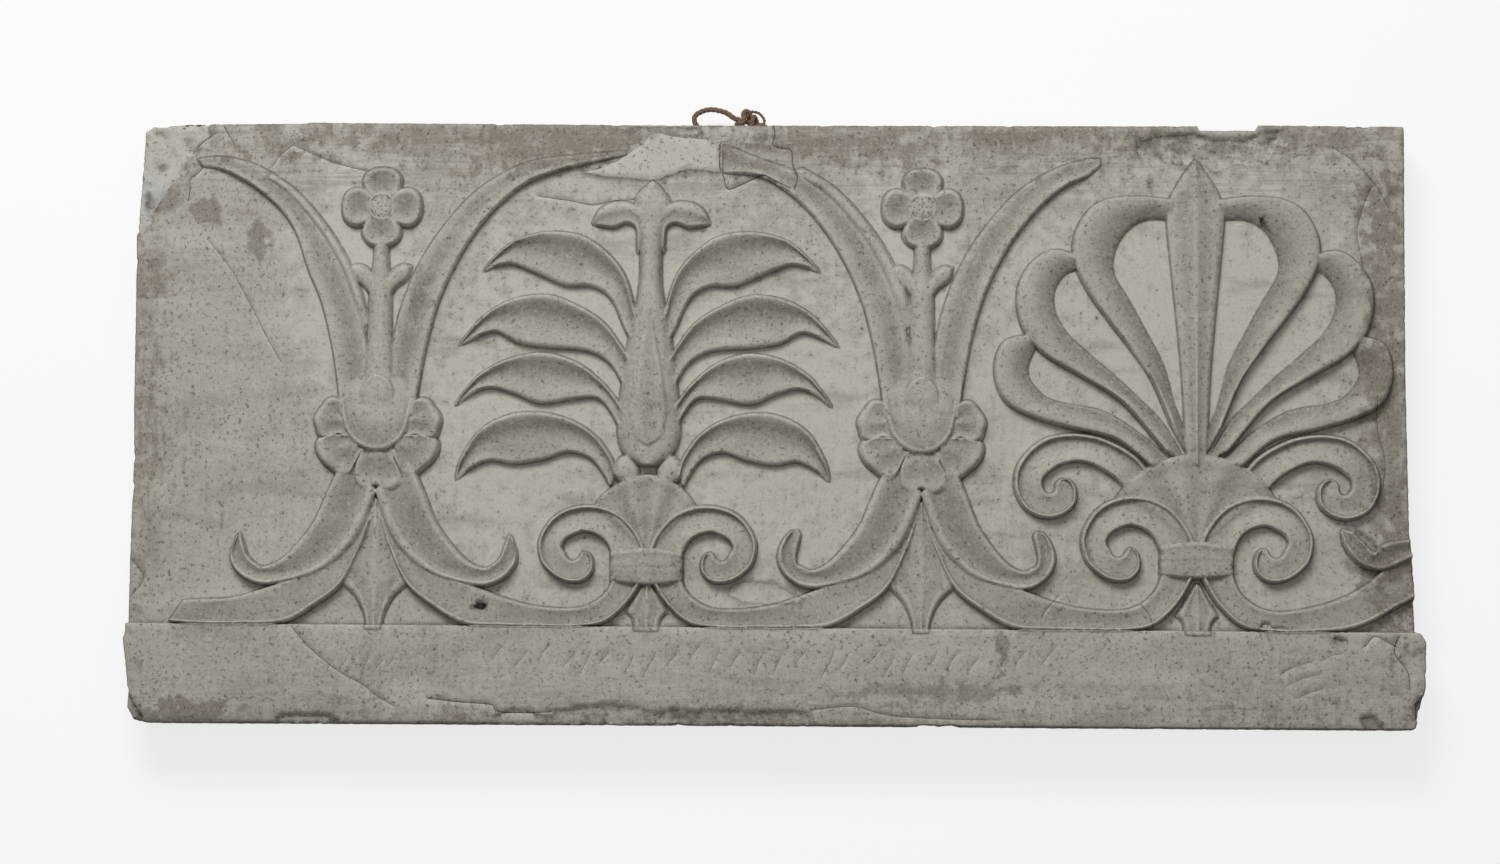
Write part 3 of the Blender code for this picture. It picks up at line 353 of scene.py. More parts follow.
# Damage, repairs and marks, in the drawing's millimetres from the panel's middle and the ledge.
# A lost surface is an outline, how deep it has gone, how rough it is and how pale the break is.
REPAIR = ((-168, 414), (-156, 417), (-139, 424), (-128, 431), (-116, 439), (-107, 449), (-100, 451),
          (-84, 447), (-60, 445), (-43, 444), (-44, 421), (-43, 414), (-60, 416), (-74, 417), (-88, 412),
          (-103, 406), (-122, 408), (-148, 410))
REPAIR_RISE = 0.9
LOSSES = {
    "left_corner": (((-578, 458), (-540, 459), (-512, 458), (-512, 447), (-522, 441), (-524, 431),
                     (-534, 422), (-532, 412), (-545, 404), (-551, 392), (-560, 380), (-563, 366),
                     (-572, 356), (-580, 358)), 4.2, 2.0, 0.75),
    "right_top": (((330, 450), (338, 446), (356, 450), (386, 452), (400, 447), (430, 446), (446, 452),
                   (466, 455), (460, 440), (455, 428), (444, 420), (426, 423), (404, 415), (392, 424),
                   (374, 421), (358, 425), (352, 436), (336, 433)), 2.2, 1.5, 0.5),
    "under_knot": (((-62, 458), (-60, 446), (-47, 443), (-24, 441), (-8, 440), (3, 439), (6, 447), (4, 458)),
                   1.6, 1.0, 0.5),
    "above_repair": (((-125, 452), (-110, 447), (-96, 452), (-80, 449), (-64, 449), (-63, 455), (-90, 456),
                      (-122, 456)), 0.9, 0.6, 0.5),
    "low_edge": (((-240, -79), (-226, -74), (-205, -76), (-190, -80), (-186, -75), (-160, -70), (-128, -69),
                  (-108, -72), (-95, -76), (-78, -72), (-60, -74), (-30, -73), (0, -74), (24, -73),
                  (40, -75), (42, -86), (-10, -88), (-80, -88), (-150, -87), (-190, -88), (-238, -88)),
                 1.6, 1.4, 0.3),
    "low_chip": (((-438, -86), (-430, -80), (-414, -79), (-392, -80), (-379, -84), (-380, -89), (-436, -90)),
                 2.6, 1.4, 0.5),
    "left_foot": (((-585, -44), (-573, -48), (-570, -62), (-563, -74), (-556, -84), (-560, -92), (-586, -92)),
                  4.5, 2.2, 0.3),
    "right_foot": (((592, -52), (583, -56), (577, -62), (576, -72), (580, -80), (578, -90), (592, -92)),
                   4.5, 2.4, -0.8),
    "foot_pits": (((530, -76), (536, -72), (543, -76), (549, -84), (546, -89), (535, -88)), 2.2, 1.6, -0.8),
    "scroll_end": (((549, 3), (552, 16), (562, 24), (572, 28), (583, 30), (583, 3)), 2.6, 1.4, 0.4),
    "scroll_wear": (((440, 3), (444, 9), (450, 8), (454, 4), (462, 6), (468, 2), (466, -0.5), (440, -0.5)),
                    2.2, 1.2, 0.75),
    "hook_wear": (((525, 88), (534, 81), (547, 71), (553, 74), (545, 79), (537, 87), (529, 92)),
                  2.0, 1.0, -0.5),
    "hollow_in_scroll": (((-262, 18), (-258, 21.5), (-251, 21), (-248, 18), (-251, 14.5), (-258, 15)),
                         6.5, 0.8, -0.9),
    "band_hole": (((505, -5), (510, -3), (516, -5), (515, -10), (509, -11)), 3.5, 0.8, 0.3),
    "lobe_slit": (((444, 373), (447, 373), (450, 367), (453, 361), (450, 360), (446, 366)), 5, 0.3, -0.9),
    "gone_skin": (((-29, 40), (-12, 42), (8, 40), (22, 33), (36, 27), (30, 23), (4, 22), (-20, 24),
                   (-31, 30)), 0.5, 0.8, 0.45),
}
# Cracks run as polylines: their points, then how wide and how deep they are.
CRACKS = (
    (((5, 458), (6, 449), (4, 440), (12, 437), (21, 435), (22, 428), (23, 420), (26, 414), (27, 408),
      (25, 399)), 1.5, 2.2),
    (((-44, 440), (-44, 421), (-40, 410), (-36, 399), (-20, 405), (-5, 411), (8, 405), (21, 399)), 1.4, 2.0),
    (((-209, 392), (-180, 388), (-159, 384), (-140, 388), (-122, 389)), 1.0, 1.0),
    (((-528, 432), (-518, 441), (-508, 449)), 1.0, 1.3),
    (((-498, 454), (-493, 446), (-489, 439)), 0.9, 0.8),
    (((-435, 439), (-446, 430), (-454, 419)), 1.0, 1.0),
    (((-435, 439), (-415, 430), (-398, 423), (-380, 418), (-367, 415)), 0.9, 0.9),
    (((-521, 424), (-518, 418), (-524, 411), (-529, 407), (-529, 398), (-530, 388)), 1.1, 1.6),
    (((-425, -1), (-410, -18), (-395, -31), (-378, -43), (-359, -53), (-345, -64), (-330, -72)), 0.9, 0.7),
    (((-300, -65), (-270, -68), (-243, -70), (-237, -76), (-210, -77), (-189, -76)), 1.0, 1.4),
    (((45, -72), (80, -69), (110, -76), (150, -79), (210, -80)), 0.9, 0.6),
    (((534, -12), (542, -3), (552, -7), (561, -12)), 1.0, 1.2),
    (((564, -3), (560, -12), (561, -20), (571, -34), (573, -48)), 1.1, 1.6),
    (((-512, 352), (-490, 325), (-470, 290), (-455, 262), (-442, 240)), 0.8, 0.4),
    (((547, 210), (549, 180), (555, 155), (553, 130)), 0.9, 0.8),
    (((537, 330), (532, 360), (538, 385), (545, 402)), 0.8, 0.7),
    (((512, 438), (530, 425), (548, 405), (560, 385)), 0.9, 0.8),
    (((336, 24), (344, 14), (347, 3)), 0.8, 0.7),
    (((250, 16), (262, 30)), 0.8, 0.7),
    (((-575, 60), (-562, 42), (-574, 24)), 0.8, 0.6),
)
# Tool strokes on the band, all leaning one way: rows with their left and right ends, number of
# strokes, top, length and seed, and a few loose ones.
STROKE_WIDTH = 1.6
STROKE_DEPTH = 0.6
STROKE_LEAN = 0.3
STROKE_ROWS = (
    (-236, 250, 26, -17, 27, 4),
    (-388, -334, 6, -28, 17, 9),
)
LOOSE_STROKES = (
    ((461, -36), (472, -30), (486, -26)),
    ((466, -47), (478, -41), (492, -37)),
    ((474, -58), (485, -53), (496, -50)),
    ((497, -24), (505, -20), (513, -19)),
)
# Darker blotches left by damp and handling: middle, reach across and up, and strength.
BLOTCHES = (
    (-548, 388, 20, 15, 0.6), (-512, 378, 17, 14, 0.75), (-463, 352, 16, 26, 0.6), (-480, 330, 26, 30, 0.3),
    (-517, -76, 42, 11, 1.0), (213, -12, 10, 12, 0.9), (214, -28, 4, 16, 0.8), (541, 60, 26, 26, 0.6),
    (-315, 300, 16, 34, 0.45), (-330, 275, 12, 30, 0.3), (-552, 70, 20, 60, 0.35), (540, 396, 10, 8, 0.9),
    (160, -55, 120, 13, 0.5), (20, -50, 60, 9, 0.35), (330, -52, 120, 12, 0.35), (-60, -60, 160, 8, 0.35),
    (-350, 60, 60, 20, 0.2), (-120, 26, 80, 10, 0.25), (560, -40, 20, 20, 0.3), (-430, -78, 120, 10, 0.35),
)
# Where grey-white plaster shows through: middle, reach across and up, and strength.
PALE_SPOTS = (
    (-436, 448, 14, 9, 0.8), (-402, 456, 20, 4, 0.6), (-318, 396, 20, 16, 0.45), (-250, 396, 10, 8, 0.4),
    (-60, 330, 30, 14, 0.3), (100, 400, 22, 12, 0.5), (276, 392, 30, 10, 0.3), (505, -35, 22, 20, 0.3),
    (-420, -30, 22, 14, 0.25), (190, -30, 14, 22, 0.35), (540, 190, 6, 40, 0.3), (556, 130, 8, 60, 0.3),
    (-190, 420, 30, 10, 0.3), (480, 442, 24, 10, 0.4), (-560, 200, 8, 60, 0.25),
)
# The light ground between the motifs, where the distemper has stayed on, and the browner parts.
LIGHT_GROUND = (
    (-375, 330, 60, 110, 1), (-230, 190, 95, 170, 0.85), (-120, 280, 150, 130, 0.8),
    (20, 180, 110, 170, 0.85),
    (130, 330, 60, 100, 1), (240, 210, 70, 190, 0.7), (390, 270, 150, 150, 1.1), (-105, 40, 260, 40, 0.5),
    (470, 60, 70, 60, 0.5), (330, 60, 60, 60, 0.5), (-440, 90, 60, 60, 0.3),
)
BROWN_PARTS = (
    (-100, 448, 500, 34, 0.8), (330, 448, 300, 34, 0.8), (556, 250, 22, 210, 1.2), (560, 40, 24, 80, 0.9),
    (0, -78, 620, 16, 0.35), (-565, 230, 20, 220, 0.45), (60, 428, 60, 22, 0.4), (-330, 432, 70, 22, 0.4),
)
# Brown fibres of the scrim in broken places: middle, reach across and up, and strength.
SCRIM_SPOTS = (
    (-532, 443, 5, 3, 0.9), (-556, 417, 5, 4, 0.9), (-568, 386, 4, 10, 1), (-560, 450, 5, 3, 0.8),
    (343, 441, 10, 6, 1), (372, 440, 14, 5, 0.7), (410, 438, 22, 5, 0.5), (-70, -80, 30, 4, 0.9),
    (374, 424, 4, 1.6, 1.2), (420, 425, 2.5, 2.5, 1.2), (452, 446, 7, 3, 1.2), (-8, 446, 13, 5, 0.7),
    (-30, 444, 12, 3, 0.4), (395, 449, 40, 2, 0.8), (565, 398, 8, 6, 0.6), (-100, 452, 60, 2, 0.5),
    (-10, -80, 14, 3, 0.6), (-150, -79, 16, 3, 0.6), (100, -84, 10, 3, 0.4),
)


def along(points, spacing=None, count=None):
    """A smooth curve through the points, as evenly spaced stations."""
    known = np.array(points, float)
    padded = np.vstack([2 * known[0] - known[1], known, 2 * known[-1] - known[-2]])
    dense = []
    for before, start, end, after in zip(padded, padded[1:], padded[2:], padded[3:]):
        for t in np.linspace(0, 1, DENSE, endpoint=False):
            bend = 2 * before - 5 * start + 4 * end - after
            twist = 3 * start - before - 3 * end + after
            dense.append(start + ((end - before) * t + bend * t * t + twist * t ** 3) / 2)
    dense.append(known[-1])
    dense = np.array(dense)
    steps = np.linalg.norm(np.diff(dense, axis=0), axis=1)
    run = np.concatenate([[0], np.cumsum(steps)])
    if count is None:
        count = max(4, math.ceil(run[-1] / (spacing or STATION)) + 1)
    places = np.linspace(0, run[-1], count)
    return np.stack([np.interp(places, run, column) for column in dense.T], axis=1)


def strip(rungs, section, starts=1.0, ends=1.0, fade=0.12):
    """Rows of (x, z, height) along a strip, from its first edge to its second."""
    rungs = along(rungs)
    share = np.linspace(0, 1, len(rungs))
    swell = np.interp(share, (0, fade, 1 - fade, 1), (starts, 1, 1, ends))
    rows = []
    for across, height, _ in section:
        place = rungs[:, :2] * (1 - across) + rungs[:, 2:] * across
        rows.append(np.column_stack([place, height * swell]))
    return {"rows": rows, "closed": False, "dark": [dark for _, _, dark in section]}


def mirrored(edge):
    """Rungs of a strip that is the same on both sides of its axis, from its left edge."""
    return [(x, z, -x, z) for x, z in edge]


def boss(outline, section, centre=None):
    """Rings of (x, z, height) from a raised form's outline in to its centre."""
    loop = along(list(outline) + [outline[0]])[:-1]
    middle = loop.mean(axis=0) if centre is None else np.array(centre, float)
    rows = []
    for reach, height, _ in section:
        ring = middle + (loop - middle) * reach
        rows.append(np.column_stack([ring, np.full(len(ring), height)]))
    return {"rows": rows, "closed": True, "dark": [dark for _, _, dark in section]}


def fan(rim, apex):
    """Rays of (x, z, height) from a fan's apex out to its rim, with soft hollow flutes."""
    last = len(FAN_SECTION) - 1
    edge = along(rim, count=last * FAN_STEPS + 1)
    tip = np.array(apex, float)
    share = np.linspace(0, 1, FAN_RAY_POINTS)[:, None]
    rows, darks = [], []
    for i, place in enumerate(edge):
        rib, part = divmod(i, FAN_STEPS)
        ease = (1 - math.cos(math.pi * part / FAN_STEPS)) / 2
        height = FAN_SECTION[rib] * (1 - ease) + FAN_SECTION[min(rib + 1, last)] * ease
        level = FAN_APEX_HEIGHT + (height - FAN_APEX_HEIGHT) * share ** FAN_BEND
        level = level + FAN_RIM_RISE * ((share > FAN_ROLL[0]) & (share < FAN_ROLL[1]))
        rows.append(np.hstack([tip + (place - tip) * share, level]))
        # Painted shade: the lower a flute's edge, the darker it is painted.
        darks.append(1 - height / max(FAN_SECTION))
    return {"rows": rows, "closed": False, "dark": darks}


def placed(form, axis=0.0, side=1, reach=1.0):
    """The same form on a motif's axis, on its right side, or mirrored to its left."""
    rows = [np.column_stack([axis + row[:, 0] * side * reach, row[:, 1:]]) for row in form["rows"]]
    return {**form, "rows": rows}


def lobe_outline(shape, x, z, angle, length, width):
    """The outline of a small lobe or petal that grows from its root at an angle."""
    turn = math.radians(angle)
    cos, sin = math.cos(turn), math.sin(turn)
    outline = []
    for out, wide in shape:
        forward, across = out * length, wide * width
        outline.append((x + forward * cos - across * sin, z + forward * sin + across * cos))
    return outline


def fluted(form, x, z, angle, ribs, depth):
    """A lobe with soft ribs that spread from its root."""
    turn = math.radians(angle)
    rows = []
    for row in form["rows"]:
        bearing = np.arctan2(row[:, 1] - z, row[:, 0] - x) - turn
        wave = np.cos(np.arctan2(np.sin(bearing), np.cos(bearing)) * ribs * 2)
        rows.append(np.column_stack([row[:, :2], row[:, 2] + wave * depth]))
    return {**form, "rows": rows}


def petal(axis, side, tip, reach=1.0):
    """A long arching petal of the lotus, ending in one of its tips."""
    return placed(strip(PETALS[tip], PETAL_SECTION, starts=1.5, ends=0.35), axis, side, reach)


def fillet(axis, side, width):
    """The thin roll of a width beside a petal, towards the flower."""
    rungs = [(a - width, b + width / 3, a, b) for a, b, c, d in PETAL[2:8]]
    return placed(strip(rungs, FILLET_SECTION, starts=0.3, ends=0.3), axis, side)


def flower(axis):
    """The four-petalled flower on its stem, with two small leaves."""
    x, z = FLOWER_AT
    root, length, width = FLOWER_PETAL
    forms = []
    for angle in (0, 90, 180, 270):
        turn = math.radians(angle)
        foot = (x + root * math.cos(turn), z + root * math.sin(turn))
        outline = lobe_outline(FLOWER_LOBE, *foot, angle, length - root, width)
        forms.append(boss(outline, FLOWER_RINGS))
    turns = np.radians(range(0, 360, 36))
    ring = [(x + FLOWER_EYE * math.cos(turn), z + FLOWER_EYE * math.sin(turn)) for turn in turns]
    forms.append(boss(ring, EYE_RINGS))
    forms.append(strip(mirrored(FLOWER_STEM), STEM_SECTION))
    leaf = strip(STEM_LEAF, STEM_LEAF_SECTION, ends=0.3)
    forms.append(leaf)
    forms.append(placed(leaf, side=-1))
    return [placed(form, axis) for form in forms]


def cup(axis):
    """The round cup that holds the petals, lowered at its top where they rise, and the tongue on it."""
    form = boss(BELL, CUP_RINGS, CUP_CENTRE)
    for row in form["rows"]:
        row[:, 2] *= np.interp(row[:, 1], CUP_TOP, (1, CUP_LOWERED))
    tongue = boss(TONGUE[:-1] + TONGUE_END, TONGUE_RINGS, CUP_CENTRE)
    for row in tongue["rows"]:
        row[:, 2] *= np.interp(row[:, 1], TONGUE_FADE, (TONGUE_LOW, 1))
    return [placed(form, axis), placed(tongue, axis)]


def crown(axis):
    """The five fluted lobes round the foot of the lotus cup."""
    forms = []
    for outline, (x, z), side in CROWN:
        lobe = boss(outline, LOBE_RINGS, (x, z))
        middle = lobe["rows"][0][:, :2].mean(axis=0)
        angle = math.degrees(math.atan2(middle[1] - z, middle[0] - x))
        forms.append(placed(fluted(lobe, x, z, angle, LOBE_RIBS, RIB_DEPTH), axis, side))
    return forms


def lotus(axis, tips, hooks, roll):
    """A lotus: petals, flower, cup, crown, the two hooked leaves under it and its pendant."""
    forms = [petal(axis, -1, tips[0], 0.99), petal(axis, 1, tips[1], 0.98), fillet(axis, -1, roll)]
    forms += flower(axis)
    forms += cup(axis)
    forms += crown(axis)
    for side, (tip, reach) in zip((-1, 1), hooks):
        forms.append(placed(strip(HOOK + HOOK_TIPS[tip], HOOK_SECTION, ends=0.6), axis, side, reach))
    forms.append(pendant(axis, KITE, KITE_FOOT))
    return forms


def pendant(axis, sides, foot):
    """The ridged pendant between two scrolls, spreading to its shoulders and drawn in to the ledge."""
    edge = np.vstack([along(sides), along(foot)])
    rows = []
    for across, height, _ in KITE_SECTION:
        rows.append(np.column_stack([edge[:, 0] * (1 - 2 * across), edge[:, 1], np.full(len(edge), height)]))
    return placed({"rows": rows, "closed": False, "dark": [dark for _, _, dark in KITE_SECTION]}, axis)


def scroll_rungs(lift):
    """The scroll's rungs, stretched upwards by the lift where it curls beside the motif's axis."""
    rungs = []
    for x, z, u, w in SCROLL:
        near = min(max((LIFT_FROM + LIFT_OVER - x) / LIFT_OVER, 0), 1)
        grow = 1 + (lift - 1) * near
        widen = 1 + (lift - 1) * near / 2
        rungs.append((x * widen, z * grow, u * widen, w * grow))
    return rungs


def scrolls(axis, lift, far_end=SCROLL[:8]):
    """The two scrolls that rise from the lotus feet and curl inwards under a plant."""
    rungs = scroll_rungs(lift)
    left = strip(rungs, SCROLL_SECTION, starts=0.5)
    right = strip(list(far_end) + rungs[8:], SCROLL_SECTION, starts=0.5)
    return [placed(left, axis, -1), placed(right, axis, 1)]


def tie(axis, rise=0.0):
    """The band that ties two scrolls together, set higher by the rise."""
    rungs = [(x, z + rise, u, w + rise) for x, z, u, w in TIE]
    return placed(strip(rungs, TIE_SECTION, 0.86, 0.86), axis)


def plant(axis):
    """The plant: a swelling stem with four pairs of leaves and a bud."""
    forms = scrolls(axis, 1.0)
    forms += [placed(fan(FAN_RIM, FAN_APEX), axis), tie(axis)]
    for side in (-1, 1):
        for leaf, reach in zip(LEAVES, LEAF_REACH[side]):
            forms.append(placed(strip(leaf, LEAF_SECTION, starts=0.15, fade=0.1), axis, side, reach))
        forms.append(placed(strip(LEAFLET, LEAFLET_SECTION, 0.4, 0.4), axis, side))
        forms.append(placed(boss(SIDE_BUD, BUD_RINGS), axis, side))
    forms.append(placed(strip(mirrored(SPINDLE), ROUND_SECTION), axis))
    forms.append(placed(strip(mirrored(LANCET), LANCET_SECTION), axis))
    forms.append(placed(boss(BUD, BUD_RINGS), axis))
    forms.append(pendant(axis, SMALL_KITE, SMALL_KITE_FOOT))
    return forms


def palmette(axis):
    """The palmette: a ridged middle petal, three pairs of looped lobes and two small scrolls."""
    forms = scrolls(axis, PALMETTE_LIFT, CUT_END)
    forms.append(placed(fan(PALMETTE_FAN_RIM, PALMETTE_FAN_APEX), axis))
    forms.append(tie(axis, PALMETTE_TIE_RISE))
    for side in (-1, 1):
        for lobe, reach in zip(LOBES, LOBE_REACH[side]):
            forms.append(placed(strip(lobe, LOBE_SECTION, starts=0.8, fade=0.08), axis, side, reach))
        forms.append(placed(strip(SMALL_SCROLL, SCROLL_SECTION, 0.3), axis, side))
    forms.append(placed(strip(mirrored(CENTRAL_PETAL), RIDGE_SECTION, starts=0.4), axis))
    forms.append(placed(strip(HALF_HOOK, HOOK_SECTION, ends=0.6), axis))
    forms.append(pendant(axis, SMALL_KITE, SMALL_KITE_FOOT))
    return forms


def broken_scroll(axis):
    """What is left of the scroll at the left end, broken off short."""
    rungs = list(SCROLL[:6]) + [(120, 1, 119, 24), (88, 1, 92, 22), BROKEN_END]
    return placed(strip(rungs, SCROLL_SECTION, starts=0.5, ends=0.7), axis - PITCH)


def carving():
    """Every carved form, left to right."""
    first, second, third, fourth = (FIRST_AXIS + PITCH * n for n in range(4))
    forms = lotus(first, ("left", "long"), (("sharp", 1.02), ("sharp", 1.0)), 6)
    forms.append(broken_scroll(first))
    forms += plant(second)
    forms += lotus(third, ("broken", "right"), (("blunt", 1.0), ("blunt", 0.93)), 9)
    forms += palmette(fourth)
    return forms


def panel_outline():
    """The panel's edge, chipped and worn, as (x, z) from the panel's middle and the ledge."""
    left, right = -PANEL_WIDTH / 2 / UNIT, PANEL_WIDTH / 2 / UNIT
    top, bottom = DRAWN_FIELD, -BAND_HEIGHT / UNIT
    rope = LOOP_LEFT / UNIT
    return [
        (left + 3, top - 7), (left + 10, top - 2), (left + 22, top - 1), (left + 36, top),
        (left + LEFT_CHIP[0], top + 1), (left + LEFT_CHIP[1], top + 2), (rope - 20, top), (rope + 85, top),
        (right - RIGHT_CHIP[0], top), (right - RIGHT_CHIP[1], top - CHIP_DEPTH),
        (right - RIGHT_CHIP[2], top - CHIP_DEPTH), (right - RIGHT_CHIP[3], top + 1),
        (right - 1, top), (right, top - 2), (right - 1, top / 2), (right + 1, 83),
        (right + 4, 45), (right + 5, 2), (right + 9, -1), (right + 13, -8), (right + 12, bottom + 40),
        (right + 9, bottom + 30), (right + 3, bottom + 5), (right - 1, bottom + 3), (0, bottom + 2),
        (left + 18, bottom), (left + 9, bottom + 3), (left + 3, bottom + 14), (left + 3, bottom + 37),
        (left + 1, bottom + 53), (left - 2, -13), (left, -2), (left, 3), (left, 53), (left + 1, 153),
        (left, top * 0.4), (left - 2, top - 106),
    ]


def edge_loop(form):
    """The closed outline of a form, as x, z and height, with doubled points left out."""
    rows = form["rows"]
    if form["closed"]:
        loop = rows[0]
    else:
        inner = rows[1:-1]
        end = np.array([row[-1] for row in inner]).reshape(-1, 3)
        start = np.array([row[0] for row in inner][::-1]).reshape(-1, 3)
        loop = np.vstack([rows[0], end, rows[-1][::-1], start])
    keep = [i for i in range(len(loop)) if np.linalg.norm(loop[i, :2] - loop[i - 1, :2]) > 0.05]
    return loop[keep]


def spread(loop, distance):
    """The loop's x and z moved outwards by a distance."""
    loop = loop[:, :2]
    ahead, behind = np.roll(loop, -1, axis=0), np.roll(loop, 1, axis=0)
    area = np.sum(loop[:, 0] * ahead[:, 1] - ahead[:, 0] * loop[:, 1])
    out = np.zeros_like(loop)
    for a, b in ((behind, loop), (loop, ahead)):
        run = b - a
        run = run / np.linalg.norm(run, axis=1)[:, None]
        out += np.column_stack([run[:, 1], -run[:, 0]]) * np.sign(area)
    size = np.maximum(np.linalg.norm(out, axis=1), 0.4)
    return loop + out / size[:, None] * distance


def creases(form):
    """Rings that carry a form's edge down to the ground in a short, soft foot."""
    loop = edge_loop(form)
    rings = [loop]
    for distance, share, _ in CREASE_RINGS:
        rings.append(np.column_stack([spread(loop, distance), loop[:, 2] * share]))
    return rings


def metres(points):
    """The drawing's x, z and height above the ground as metres of the panel."""
    scaled = np.array(points, float) * UNIT
    return [(x, GROUND_Y - height, z + LEDGE_Z) for x, z, height in scaled.tolist()]


def sheet_faces(rows, closed, start):
    """Triangles between rows of points that are numbered from the start."""
    count = len(rows[0])
    last = count if closed else count - 1
    faces = []
    for row in range(len(rows) - 1):
        for i in range(last):
            j = (i + 1) % count
            a, b = start + row * count + i, start + row * count + j
            c, d = b + count, a + count
            faces.append((a, b, c))
            faces.append((a, c, d))
    return faces


class Surface:
    """The carved face as the highest of all its forms, found by looking straight at it."""

    def __init__(self, forms):
        points, faces, darks = [], [], []
        foot = [EDGE_DARK] + [dark for _, _, dark in CREASE_RINGS]
        for form in forms:
            parts = ((form["rows"], form["closed"], form["dark"]), (form["rings"], True, foot))
            for rows, closed, dark in parts:
                faces += sheet_faces(rows, closed, len(points))
                points += [(x, -height, z) for x, z, height in np.vstack(rows).tolist()]
                darks += [value for value in dark for _ in rows[0]]
        self.faces = np.array(faces)
        self.places = np.array([(x, z) for x, _, z in points])
        self.darks = np.array(darks)
        self.tree = BVHTree.FromPolygons(points, faces)

    def dirt_and_shade(self, points):
        """How dark the highest form is painted with shade and dirt at each of the points."""
        found = []
        for x, z in points.tolist():
            index = self.tree.ray_cast(Vector((x, -FAR, z)), Vector((0, 1, 0)))[2]
            found.append(-1 if index is None else index)
        found = np.array(found)
        hit = np.flatnonzero(found >= 0)
        faces = self.faces[found[hit]]
        a, b, c = (self.places[faces[:, k]] for k in range(3))
        u, v, w = b - a, c - a, points[hit] - a
        area = u[:, 0] * v[:, 1] - u[:, 1] * v[:, 0]
        area = np.where(np.abs(area) < 1e-6, 1e-6, area)
        second = np.clip((w[:, 0] * v[:, 1] - w[:, 1] * v[:, 0]) / area, 0, 1)
        third = np.clip((u[:, 0] * w[:, 1] - u[:, 1] * w[:, 0]) / area, 0, 1)
        first = np.clip(1 - second - third, 0, 1)
        dark = np.zeros(len(points))
        values = self.darks[faces]
        dark[hit] = values[:, 0] * first + values[:, 1] * second + values[:, 2] * third
        return dark

    def height(self, x, z, near=((0, 0), (0.02, 0), (-0.02, 0), (0, 0.02), (0, -0.02))):
        """How far the highest form stands above the ground at a point, or 0 where there is none."""
        best = 0.0
        for dx, dz in near:
            hit = self.tree.ray_cast(Vector((x + dx, -FAR, z + dz)), Vector((0, 1, 0)))[0]
            if hit is not None:
                best = max(best, -hit.y)
        return best

    def shows(self, place):
        """Whether a point of a form, as x, z and height, is seen from in front."""
        x, z, own = place
        return self.height(x, z) < own + COVERED

    def last_shown(self, shown, hidden):
        """The furthest point that still shows, from a shown one towards a hidden one."""
        for _ in range(4):
            middle = (shown + hidden) / 2
            if self.shows(middle):
                shown = middle
            else:
                hidden = middle
        return shown


class Net:
    """Points and edges of the face, where points that nearly meet are one."""

    def __init__(self):
        self.points, self.edges, self.cells = [], set(), {}

    def near(self, x, z, reach):
        """A point within reach of a place, or None."""
        size = FILL_GROUND
        column, row = math.floor(x / size), math.floor(z / size)
        for i in (column, column - 1, column + 1):
            for j in (row, row - 1, row + 1):
                for known in self.cells.get((i, j), ()):
                    a, b = self.points[known]
                    if (a - x) ** 2 + (b - z) ** 2 < reach * reach:
                        return known
        return None

    def point(self, x, z, reach=SNAP):
        """The number of the point at a place, which is a new one if none is within reach."""
        found = self.near(x, z, reach)
        if found is None:
            found = len(self.points)
            self.points.append((x, z))
            cell = (math.floor(x / FILL_GROUND), math.floor(z / FILL_GROUND))
            self.cells.setdefault(cell, []).append(found)
        return found

    def line(self, places, closed=False, reach=SNAP):
        """A run of edges through the places."""
        numbers = [self.point(x, z, reach) for x, z in places]
        if closed:
            numbers.append(numbers[0])
        for a, b in zip(numbers, numbers[1:]):
            if a != b:
                self.edges.add((min(a, b), max(a, b)))

    def fold(self, line, surface, heights=None):
        """The stretches of a form's line that show, as edges."""
        line = np.array(line, float)
        if heights is not None:
            line = np.column_stack([line[:, :2], heights])
        seen = [surface.shows(place) for place in line]
        for a, b, near, far in zip(line, line[1:], seen, seen[1:]):
            if not near and not far:
                continue
            if not far:
                b = surface.last_shown(a, b)
            elif not near:
                a = surface.last_shown(b, a)
            self.line((a[:2].tolist(), b[:2].tolist()))


def jittered(corners, step, amount, seed):
    """A closed outline with points at even steps, moved a little to look broken."""
    shaker = random.Random(seed)
    loop = []
    for (ax, az), (bx, bz) in zip(corners, corners[1:] + corners[:1]):
        parts = max(1, round(math.hypot(bx - ax, bz - az) / step))
        for i in range(parts):
            share = i / parts
            x = ax + (bx - ax) * share + shaker.uniform(-amount, amount)
            z = az + (bz - az) * share + shaker.uniform(-amount, amount)
            loop.append((x, z))
    return loop


def inside(points, loop):
    """Which of the points, as an array, lie inside a closed loop."""
    x, z = points[:, 0], points[:, 1]
    odd = np.zeros(len(points), bool)
    for (ax, az), (bx, bz) in zip(loop, list(loop[1:]) + list(loop[:1])):
        if az == bz:
            continue
        crosses = ((az > z) != (bz > z)) & (x < (bx - ax) * (z - az) / (bz - az) + ax)
        odd ^= crosses
    return odd


def distance_to(points, line, closed=False, reach=4.0, stretch=12):
    """How far each point is from a polyline, for points within reach of it."""
    best = np.full(len(points), reach)
    places = np.array(list(line) + ([line[0]] if closed else []), float)
    for first in range(0, len(places) - 1, stretch):
        part = places[first:first + stretch + 1]
        low, high = part.min(axis=0) - reach, part.max(axis=0) + reach
        close = np.flatnonzero(np.all((points > low) & (points < high), axis=1))
        here = points[close]
        for start, end in zip(part, part[1:]):
            run = end - start
            share = np.clip(((here - start) @ run) / max(run @ run, 1e-9), 0, 1)
            away = here - start - share[:, None] * run
            best[close] = np.minimum(best[close], np.hypot(away[:, 0], away[:, 1]))
    return best


